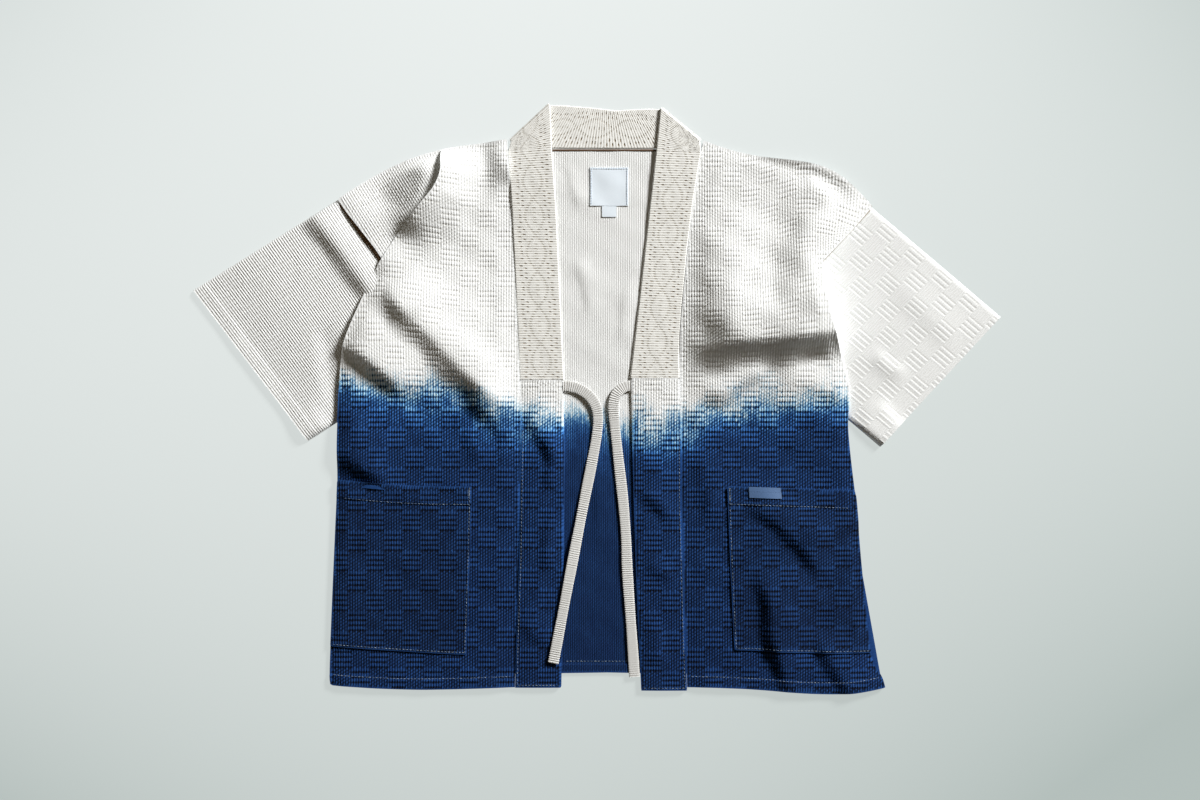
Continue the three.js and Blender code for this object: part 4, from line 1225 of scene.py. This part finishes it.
def make_sleeve(side):
    sleeve, length, width, out, down, top = sleeve_grid(side)
    share_out, share_down = np.meshgrid(out, down)
    facing = np.repeat(top[:, None], len(out), axis=1)
    upper = sleeve["armhole_top"] + share_out[..., None] * (sleeve["cuff_top"] - sleeve["armhole_top"])
    lower = sleeve["armhole_low"] + share_out[..., None] * (sleeve["cuff_low"] - sleeve["armhole_low"])
    place = upper + (lower - upper) * share_down[..., None]
    x, y = place[..., 0], place[..., 1]
    edge = np.minimum(share_down, 1 - share_down) * width
    full = np.sqrt(np.clip(1 - (1 - np.clip(edge / SLEEVE_ROUND, 0, 1)) ** 2, 0, 1))
    p, q = share_out * length, share_down * width
    over = facing > 0
    soft = SLEEVE_FOLDS[side](x, y)
    thread = sleeve_weave(side, p, q) * smooth(0, 0.7, full) * over
    half = (SLEEVE_HEIGHT - CUFF_FLATTER * smooth(0.55, 1.0, share_out)) / 2
    z = half + facing * half * full + (thread + soft * smooth(0.2, 1, full)) * over
    z += 0.5 * smooth(CUFF_TURN + 1, CUFF_TURN - 1, (1 - share_out) * length) * over * full
    z = np.maximum(z, 0.05)
    points = np.stack([x, y, z], axis=-1).reshape(-1, 3)
    rings, columns = x.shape
    number = np.arange(x.size).reshape(rings, columns)
    quads = grid_quads(closed_round(number, axis=0))

    cuff, inner = number[:, -1], []
    cuff_half = (SLEEVE_HEIGHT - CUFF_FLATTER) / 2
    way_out = (sleeve["cuff_top"] - sleeve["armhole_top"]) / length
    for back_by in (0.0, CUFF_TURN):
        ring = points[cuff].copy()
        ring[:, 2] = cuff_half + (ring[:, 2] - cuff_half) * CUFF_OPENING
        ring[:, :2] -= way_out * back_by
        inner.append(ring)
    first = len(points)
    points = np.vstack([points, *inner])
    ring_one, ring_two = first + np.arange(rings), first + rings + np.arange(rings)
    for start, end in ((cuff, ring_one), (ring_one, ring_two)):
        quads = np.vstack([quads, np.stack([start, end, np.roll(end, -1), np.roll(start, -1)], axis=-1)])
    if SIDE_SIGN[side] > 0:
        quads = quads[:, ::-1]
    weave = np.column_stack([p.ravel() * MM, q.ravel() * MM, thread.ravel()])
    weave = np.vstack([weave, weave[cuff], weave[cuff]])
    # painted shade: the inside of the cuff takes the colour of the weave's valleys, so the opening reads
    # darker
    weave[first:, 2] = -0.3
    return make_piece(f"sleeve_{side}_cloth", points, quads, CREAM_COTTON, weave)


SLEEVE_FOLDS = {
    "left": FoldedCloth([
        Fold("ridge", [(-360, 246), (-336, 214), (-306, 176), (-272, 128), (-256, 96)], 7.0, 26, 17),
        Fold("armhole", [(-318, 246), (-286, 204), (-244, 150)], -1.0, 7, 7),
        Fold("under_front", [(-330, 96), (-322, 40), (-312, -20)], -2.2, 14, 14),
        Fold("cuff", [(-452, 96), (-410, 36), (-372, -26)], 0.9, 10, 14),
        Fold("underarm", [(-376, -74), (-348, -42), (-332, -33), (-316, -24)], 4.0, 26, 9),
    ]),
    "right": FoldedCloth([
        Fold("middle", [(330, 60), (352, 38), (374, 30)], 1.6, 8, 12),
        Fold("lower", [(338, -2), (352, -24), (372, -40)], 2.0, 8, 12),
        Fold("long", [(350, 150), (398, 98), (440, 60)], 1.0, 22, 22),
        Fold("underarm", [(308, -26), (324, -36), (336, -46), (372, -76)], 4.0, 26, 9),
    ]),
}
for side in SIDE_SIGN:
    sleeve_cloth = make_sleeve(side)
    place_piece(sleeve_cloth, "cream_cloth", f"sleeve_{side}")
    corners = [np.array(SLEEVES[side][key], float) for key in SLEEVE_CORNERS]
    edges = [np.hypot(*(after - before)) for before, after in zip(corners, corners[1:] + corners[:1])]

# %% [markdown]
# ## The collar
# The collar is one long band, folded double. It rises from the left front, turns over behind the
# shoulder, runs along the neck with its inner face up, turns over again and comes down on the
# right. It is built as rows across that band, each with its two edges and the way its face looks.

# %% Collar rows
COLLAR = {
    "left": {"free": [(-39.5, 22.8), (-44, 120), (-49, 231), (-54, 300)], "seam_y": [22.8, 120, 231, 296],
             "fold_free": (-56, 352.3), "fold_seam": (-103.4, 308.4), "out": (-0.68, 0.73)},
    "right": {"free": [(39.5, 24.8), (51, 120), (61.5, 214), (71, 298)], "seam_y": [24.8, 118, 214, 296],
              "fold_free": (76, 347.6), "fold_seam": (123.6, 308.6), "out": (0.62, 0.78)},
}
STRIP_FREE = [(-56, 352.3), (-38, 352), (-8, 349.5), (22, 346), (48, 347.5), (66, 348), (76, 347.6)]
STRIP_SEAM = [(-103.4, 308.4), (-82, 300.4), (-30, 300), (14, 300), (62, 300), (104, 300.4), (123.6, 308.6)]
COLLAR_STEP = 2.9 / 3           # three rows for each rib
COLLAR_ACROSS = 42
TURN_STEPS = 6
STRAP_Z, STRIP_Z = CLOTH + SEAM + FOLDED / 2, FOLDED / 2
STRAP_RISES = (180, 285)


def strap_rows(side):
    """From the foot of one strap up to its fold: free edge, seam edge, height, way up."""
    strap = COLLAR[side]
    free = np.array(strap["free"], float)
    seam_y = np.array(strap["seam_y"], float)
    place = run_along(free)
    at = np.arange(0, place[-1], COLLAR_STEP)
    free_edge = np.column_stack([np.interp(at, place, free[:, 0]), np.interp(at, place, free[:, 1])])
    edge_y = np.interp(at, place, seam_y)
    seam_edge = np.column_stack([line_x(SEAM_LINE[side], edge_y), edge_y])
    share = np.linspace(0, 1, 55)[1:-1, None]
    free_turn = free_edge[-1] + share * (np.array(strap["fold_free"]) - free_edge[-1])
    seam_turn = seam_edge[-1] + share * (np.array(strap["fold_seam"]) - seam_edge[-1])
    free_edge, seam_edge = np.vstack([free_edge, free_turn]), np.vstack([seam_edge, seam_turn])
    top = STRIP_Z + FOLDED + 2 * SEAM
    middle_y = (free_edge[:, 1] + seam_edge[:, 1]) / 2
    z = STRAP_Z + (top - STRAP_Z) * smooth(*STRAP_RISES, middle_y)
    return [(f, s, height, np.array([0, 0, 1.0])) for f, s, height in zip(free_edge, seam_edge, z)]


def turn_rows(side):
    """The half turn at the top of a strap, from over to under."""
    strap = COLLAR[side]
    out = np.array(strap["out"])
    radius = (FOLDED + 2 * SEAM) / 2
    rows = []
    for angle in np.linspace(0, math.pi, TURN_STEPS + 1):
        push = math.sin(angle)
        shift = out * radius * push
        rows.append((np.array(strap["fold_free"]) + shift, np.array(strap["fold_seam"]) + shift,
                     STRIP_Z + radius + radius * math.cos(angle), np.array([*(out * push), math.cos(angle)])))
    return rows


def strip_rows():
    free, seam = dense(STRIP_FREE, 0.5), dense(STRIP_SEAM, 0.5)
    count = int(180 / COLLAR_STEP)
    share = np.linspace(0, 1, count + 1)[1:-1]
    rows = []
    for part in share:
        pick = [np.array([np.interp(part, np.linspace(0, 1, len(line)), line[:, axis]) for axis in (0, 1)])
                for line in (free, seam)]
        rows.append((pick[0], pick[1], STRIP_Z, np.array([0, 0, -1.0])))
    return rows


collar_rows = [*strap_rows("left"), *turn_rows("left"), *strip_rows(),
               *turn_rows("right")[::-1], *strap_rows("right")[::-1]]
print("rows across the collar:", len(collar_rows))

# %% [markdown]
# The collar cloth has wide ribs across the band with narrow grooves between. Brown threads dive into
# the grooves and draw a chain of lenses, a simple cousin of the hemp-leaf figure. It can be charted
# groove by groove, as on a weaver's point paper: which dashes lie in a groove follows from its place
# in the repeat.

# %% Collar relief
COLLAR_RIB = 2.9
REPEAT = 15                     # grooves from one waist of the chain to the next
LENS_HALF = 11.5
DASH = 1.7                      # half the length of one dash
GROOVE_DEPTH = 0.17
DASH_DEPTH = 0.5
FAINT = 0.45                    # how deep the lens lines dive, as a share of a dash


def dash_places(groove):
    """Where the dashes lie in a groove, from the middle of the band, and how deep each is."""
    step = groove % REPEAT
    from_waist = min(step, REPEAT - step)
    lens = LENS_HALF * math.sin(math.pi * step / REPEAT)
    places = [(lens, FAINT), (-lens, FAINT)]
    if from_waist > 3 and step % 2:
        places += [(0.0, FAINT)]
    if from_waist < 4:
        far = 19.0 if groove % 2 else 13.5
        places += [(far, 1.0), (-far, 1.0)]
    if from_waist in (5, 7):
        places += [(17.5, 0.8), (-17.5, 0.8)]
    return places


def collar_thread(u, v):
    """Relief of the collar cloth: ribs across the band, dashes where threads dive."""
    turn = u / COLLAR_RIB
    groove = np.rint(turn).astype(int)
    hollow = smooth(0.34, 0.0, np.abs(turn - groove))
    dashes = np.zeros(np.broadcast(u, v).shape)
    for number in range(int(groove.min()), int(groove.max()) + 1):
        here = groove == number
        for place, deep in dash_places(number):
            dashes = np.maximum(dashes, here * deep * smooth(DASH, DASH * 0.6, np.abs(v - place)))
    uneven = 0.7 + 0.6 * luck(u, v + 200, COLLAR_RIB, 4.0)
    return -(GROOVE_DEPTH * uneven + DASH_DEPTH * dashes) * hollow


# %% Collar mesh
def ribbon(name, rows, thickness, finish, relief, across=COLLAR_ACROSS):
    """A flat tape with two woven faces: rows of (one edge, other edge, height, way up)."""
    share = np.linspace(0, 1, across + 1)
    free = np.array([row[0] for row in rows])
    seam = np.array([row[1] for row in rows])
    z = np.array([row[2] for row in rows])
    up = np.array([row[3] for row in rows])
    run = np.arange(len(rows)) * COLLAR_STEP
    width = np.hypot(*(free - seam).T)
    u, s = np.meshgrid(run, share, indexing="ij")
    v = (s - 0.5) * width[:, None]
    plan = seam[:, None, :] + (free - seam)[:, None, :] * s[..., None]
    edge = np.minimum(s, 1 - s) * width[:, None]
    rounded = np.sqrt(np.clip(1 - (1 - np.clip(edge / 1.6, 0, 1)) ** 2, 0, 1))
    thread = relief(u, v) * smooth(0.5, 1, rounded)
    wave = 0.22 * ripple(u * 1.4, v * 2.0 + 7)
    faces = []
    for sign in (1, -1):
        lift = sign * (thickness / 2 * (0.35 + 0.65 * rounded)) + thread * sign + wave
        faces.append(np.concatenate([plan, np.broadcast_to(z[:, None, None], plan.shape[:2] + (1,))], axis=-1)
                     + up[:, None, :] * lift[..., None])
    count, columns = u.shape
    ring = np.concatenate([faces[0], faces[1][:, ::-1]], axis=1)
    around = ring.shape[1]
    number = np.arange(count * around).reshape(count, around)
    quads = grid_quads(closed_round(number, axis=1))
    caps = []
    for row, flip in ((0, False), (count - 1, True)):
        first, second = number[row, :columns], number[row, columns:][::-1]
        cap = np.stack([first[:-1], second[:-1], second[1:], first[1:]], axis=-1)
        caps.append(cap[:, ::-1] if flip else cap)
    quads = np.vstack([quads, *caps])[:, ::-1]
    weave = np.stack([u * MM, (v + width[:, None] / 2) * MM, thread], axis=-1)
    weave = np.concatenate([weave, weave[:, ::-1]], axis=1).reshape(-1, 3)
    return make_piece(name, ring.reshape(-1, 3), quads, finish, weave)


def collar_cotton():
    finish = Finish("collar_cotton", Roughness=0.88, Sheen_Weight=0.05, Sheen_Roughness=0.6,
                    Specular_IOR_Level=0.2)
    weave = finish.attribute("weave")["Vector"]
    axes = finish.node("ShaderNodeSeparateXYZ", {}, {0: weave})
    slub = finish.grain(weave, 260.0, 900.0, 3.0)
    light = finish.mix(slub, linear(238, 238, 234), linear(246, 246, 242))
    # painted shade: the grooves between the ribs are coloured darker
    groove_shaded = finish.mix(axes["Z"].between(-0.22, -0.02), linear(172, 166, 154), light)
    colour = finish.mix(axes["Z"].between(-0.30, -0.64), groove_shaded, linear(118, 92, 60))
    yarn = finish.grain(weave, 1500.0, 1500.0)
    finish.feed(Base_Color=colour, Normal=finish.bump(yarn, *YARN_BUMP))
    return finish


COLLAR_COTTON = collar_cotton()
collar = ribbon("collar_cloth", collar_rows, FOLDED, COLLAR_COTTON, collar_thread)
place_piece(collar, "collar_cloth", "collar")

# %% [markdown]
# ## Label, size tab and pocket tab
# The tapes are left blank.

# %% Tapes
NECK_LABEL = (14.5, 254.5, 46, 46)
SIZE_TAB = (14.5, 224.5, 17, 13)
LABEL = 1.0


def tape_finish(name, light, dark):
    finish = Finish(name, Roughness=0.5, Sheen_Weight=0.2)
    weave = finish.attribute("weave")["Vector"]
    thread = finish.grain(weave, 400.0, 2600.0)
    bump = finish.bump(thread, *THREAD_BUMP)
    finish.feed(Base_Color=finish.mix(thread, dark, light), Normal=bump)
    return finish


LABEL_TAPE = tape_finish("label_tape", linear(238, 246, 252), linear(224, 235, 245))
TAB_TAPE = tape_finish("tab_tape", linear(88, 120, 162), linear(56, 84, 126))


def label_mesh(name, box, finish, wave):
    centre_x, centre_y, width, height = box
    across, down = np.meshgrid(np.linspace(-width / 2, width / 2, 41),
                               np.linspace(-height / 2, height / 2, 41))
    x, y = centre_x + across, centre_y + down
    z = back_height(x, y) + 0.5 + LABEL * 0.5 + wave * np.sin(across / 7.0 + 1) * np.cos(down / 9.0)
    return grid_piece(name, x, y, z, finish)


def grid_piece(name, x, y, z, finish, turn=0.8):
    """A small sheet from a grid of places, with its edge turned down."""
    quads = grid_quads(np.arange(x.size).reshape(x.shape))
    points = np.stack([x, y, z], axis=-1).reshape(-1, 3)
    normal = np.cross(points[quads[0, 1]] - points[quads[0, 0]], points[quads[0, 3]] - points[quads[0, 0]])
    if normal[2] < 0:
        quads = quads[:, ::-1]
    rim = rim_edges(quads, len(points))
    under = points.copy()
    under[:, 2] -= turn
    down = np.stack([rim[:, 1], rim[:, 0], rim[:, 0] + len(points), rim[:, 1] + len(points)], axis=1)
    weave = np.column_stack([points[:, 0] * MM, points[:, 1] * MM, 0 * points[:, 0]])
    used, quads = np.unique(np.vstack([quads, down]), return_inverse=True)
    both, weave = np.vstack([points, under])[used], np.vstack([weave, weave])[used]
    return make_piece(name, both, quads.reshape(-1, 4), finish, weave)


neck_label = label_mesh("neck_label_tape", NECK_LABEL, LABEL_TAPE, 0.18)
size_tab = label_mesh("size_tab_tape", SIZE_TAB, LABEL_TAPE, 0.1)
place_piece(neck_label, "label_tape", "neck_label")
place_piece(size_tab, "label_tape", "size_tab")


TAB_FROM, TAB_TO = 2 / 12, 5 / 12     # shares of the pocket's width
tab_ends = [POCKET_SHARE + (1 - POCKET_SHARE) * share for share in (TAB_FROM, TAB_TO)]
tab_shares = np.linspace(*tab_ends, 31)
tab_places = np.linspace(row_number("right", "tab_foot"), row_number("right", "pocket_mouth"), 15)
tab_points = np.array([[row_point("right", place, share) for share in tab_shares] for place in tab_places])
tab_x, tab_y = tab_points[..., 0], tab_points[..., 1]
tab_z = pocket_height("right", tab_x, tab_y) + SEAM + LABEL
pocket_tab = grid_piece("pocket_tab_tape", tab_x, tab_y, tab_z, TAB_TAPE)
place_piece(pocket_tab, "tab_tape", "pocket_tab")

# %% [markdown]
# ## The sewing
# A line of stitches is a row of short, fat threads that dive at both ends. One stitch is a small
# capsule, and a whole seam is one mesh of them, laid along a line at the height of its cloth.

# %% Stitches
STITCH = 2.9
STITCH_GAP = 1.3
STITCH_THICK = 0.34
STITCH_RINGS = ((-0.5, 0.2), (-0.34, 0.85), (0.0, 1.0), (0.34, 0.85), (0.5, 0.2))
STITCH_SIDES = 6


def stitch_places(line, pitch):
    """Where stitches sit on a line, and the way each runs."""
    line = np.array(line, float)
    run = run_along(line)
    middles = np.arange(pitch / 2, run[-1], pitch)
    pick = lambda at: np.column_stack([np.interp(at, run, line[:, axis]) for axis in (0, 1)])
    return pick(middles), pick(middles - 0.4 * pitch), pick(middles + 0.4 * pitch)


def sew(name, slot, finish, height, *lines, lift=0.35, pitch=STITCH + STITCH_GAP):
    """All the stitches of some lines as one mesh."""
    groups = [stitch_places(line, pitch) for line in lines]
    middle, before, after = (np.vstack([group[index] for group in groups]) for index in range(3))
    centre = np.column_stack([middle, height(*middle.T) + lift])
    way = np.column_stack([after - before, height(*after.T) - height(*before.T)])
    way /= np.linalg.norm(way, axis=1)[:, None]
    aside = sideways(way)
    over = np.cross(aside, way)
    turn = np.linspace(0, 2 * math.pi, STITCH_SIDES, endpoint=False)
    length = min(STITCH, 0.8 * pitch)
    circle = aside[:, None] * np.cos(turn)[:, None] + over[:, None] * np.sin(turn)[:, None]
    rings = [centre[:, None] + (way * along_it * length)[:, None] + circle * STITCH_THICK * fat
             for along_it, fat in STITCH_RINGS]
    points = np.stack(rings, axis=1)
    count, ring_count = len(centre), len(STITCH_RINGS)
    number = np.arange(count * ring_count * STITCH_SIDES).reshape(count, ring_count, STITCH_SIDES)
    sides = grid_quads(closed_round(number, axis=2))
    first, last = number[:, 0], number[:, -1]
    caps = [first[:, [3, 2, 1, 0]], first[:, [0, 5, 4, 3]], last[:, [0, 1, 2, 3]], last[:, [0, 3, 4, 5]]]
    quads = np.vstack([sides, *caps])
    weave = np.repeat(centre * MM, ring_count * STITCH_SIDES, axis=0)
    piece = make_piece(name, points.reshape(-1, 3), quads, finish, weave, smooth_faces=True)
    return place_piece(piece, slot)


def thread_finish(name, light, dark):
    finish = Finish(name, Roughness=0.7, Specular_IOR_Level=0.3)
    place = finish.node("ShaderNodeTexCoord")["Object"]
    luck_of_dye = finish.noise(place, 220.0, 2.0)
    twist = finish.noise(place, 3200.0, 1.0)
    bump = finish.bump(twist, *THREAD_BUMP)
    finish.feed(Base_Color=finish.mix(luck_of_dye.between(0.35, 0.65), dark, light), Normal=bump)
    return finish


PALE_THREAD = thread_finish("pale_thread", linear(148, 164, 180), linear(54, 78, 112))
LABEL_THREAD = thread_finish("label_thread", linear(206, 218, 230), linear(180, 194, 210))

# %% Sewing the fronts and the bands
shares = np.linspace(0.02, 0.985, 90)
for side in SIDE_SIGN:
    sign = SIDE_SIGN[side]
    hem = [row_point(side, row_number(side, "hem_top"), share) for share in shares]
    sew(f"hem_stitches_{side}", "dyed_cloth", PALE_THREAD, lambda x, y: front_height(side, x, y), hem)
    foot = BAND_ENDS[side][0]
    y = np.linspace(foot + 3, -36, 60)
    edge = np.column_stack([line_x(SEAM_LINE[side], y) - 2.2 * sign, y])
    y_foot = foot + 3 + 0 * shares
    x_foot = np.linspace(edge[0, 0], line_x(BAND_EDGE[side], foot) + 4 * sign, len(shares))
    under = np.column_stack([x_foot, y_foot])
    sew(f"band_stitches_{side}", "dyed_cloth", PALE_THREAD, lambda x, y: band_height(side, x, y), edge, under)

# %% Sewing the pockets
for side in SIDE_SIGN:
    sign = SIDE_SIGN[side]
    places = np.linspace(row_number(side, "pocket_foot") + 0.02, row_number(side, "pocket_mouth") - 0.05, 60)
    inner = np.array([row_point(side, place, POCKET_SHARE) for place in places]) + (2.2 * sign, 0)
    foot_row = row_number(side, "pocket_foot")
    foot_shares = np.linspace(POCKET_SHARE + 0.01, 0.99, 50)
    below = np.array([row_point(side, foot_row, share) for share in foot_shares])
    x = np.linspace(inner[-1, 0], row_point(side, row_number(side, "pocket_mouth"), 0.97)[0], 50)
    hem = np.column_stack([x, mouth_y(side, x) - 21.5])
    tack = inner[-1] + np.array([(0, 0), (0.6 * sign, -5), (0, -14)])
    on_pocket = lambda x, y: pocket_height(side, x, y)
    sew(f"pocket_stitches_{side}", "dyed_cloth", PALE_THREAD, on_pocket, inner, below + (0, 2.4), hem)
    sew(f"pocket_tack_{side}", "dyed_cloth", PALE_THREAD, on_pocket, tack, tack + (1.4 * sign, -0.8),
        pitch=2.0)

# %% Sewing the back, the label and the cuffs
x = np.linspace(-38, 48, 40)
sew("back_hem_stitches", "dyed_cloth", PALE_THREAD, back_height, np.column_stack([x, 0 * x - 315.5]))
label_x, label_y, label_width, label_height = NECK_LABEL
AROUND_LABEL = ((-1, -1), (-1, 1), (1, 1), (1, -1))
half_x, half_y = label_width / 2 - 1.6, label_height / 2 - 1.6
frame_line = [(label_x + sx * half_x, label_y + sy * half_y) for sx, sy in AROUND_LABEL]
sew("label_stitches", "label_tape", LABEL_THREAD, back_height, frame_line, lift=1.35, pitch=3.0)

# %% [markdown]
# Where the collar is sewn on behind the neck, the seam is bound with a narrow brown tape, coloured dark to
# paint the shadow in the seam as well.

# %% Neck seam
SEAM_TAPE = 2.6
x = np.linspace(-101, 119, 111)
strip_line = np.array(STRIP_SEAM, float)
seam_top = np.minimum(np.interp(x, strip_line[:, 0], strip_line[:, 1]), NECKLINE_Y + 0.2) - 0.4
tape_x = np.tile(x, (5, 1))
tape_y = seam_top - np.linspace(0, SEAM_TAPE, 5)[:, None]
round_top = np.sin(np.linspace(0, math.pi, 5))[:, None]
# painted shadow: the tape's dark brown also stands for the shade in the seam line
BROWN_TAPE_AND_SEAM_SHADOW = tape_finish("brown_tape_and_seam_shadow", linear(112, 84, 60), linear(74, 54, 38))
tape_z = CLOTH + 0.5 + 0.7 * round_top + 0 * tape_x
neck_seam = grid_piece("neck_seam_tape_and_shadow", tape_x, tape_y, tape_z, BROWN_TAPE_AND_SEAM_SHADOW, turn=0.4)
place_piece(neck_seam, "collar_cloth")

# %% [markdown]
# The armhole seams are finished with a tape on the real jacket. On the left the seam gapes and the
# tape shows in it. On the right a thin strip of it lies along the edge, coloured dark to paint the line of
# shade there. A strip of tape along each is enough.

# %% Armhole seams
def armhole_tape_and_shade(side, start, end, inner, outer, lift, finish):
    """A strip along an armhole, from inner to outer millimetres towards the cuff."""
    top, low = (np.array(SLEEVES[side][key], float) for key in ("armhole_top", "armhole_low"))
    way_down = low - top
    aside = np.array([way_down[1], -way_down[0]]) / np.hypot(*way_down) * SIDE_SIGN[side] * -1
    places = top + np.linspace(start, end, 60)[None, :, None] * way_down
    places = places + np.linspace(inner, outer, 5)[:, None, None] * aside
    tape = grid_piece(f"armhole_tape_and_shade_{side}", places[..., 0], places[..., 1],
                      SLEEVE_HEIGHT + lift + 0 * places[..., 0], finish)
    return place_piece(tape, "collar_cloth")


# painted shade: the right strip is coloured as the dark line of shade along the seam; the left one is the
# real brown tape
SEAM_SHADE = tape_finish("seam_shade", linear(168, 158, 142), linear(128, 116, 98))
TURNED_TAPE = tape_finish("turned_tape", linear(158, 126, 92), linear(108, 84, 60))
armhole_tape_and_shade("left", 0.03, 0.66, -6.5, 1.5, 1.5, TURNED_TAPE)
armhole_tape_and_shade("right", 0.02, 0.43, -0.6, 1.0, 0.9, SEAM_SHADE)
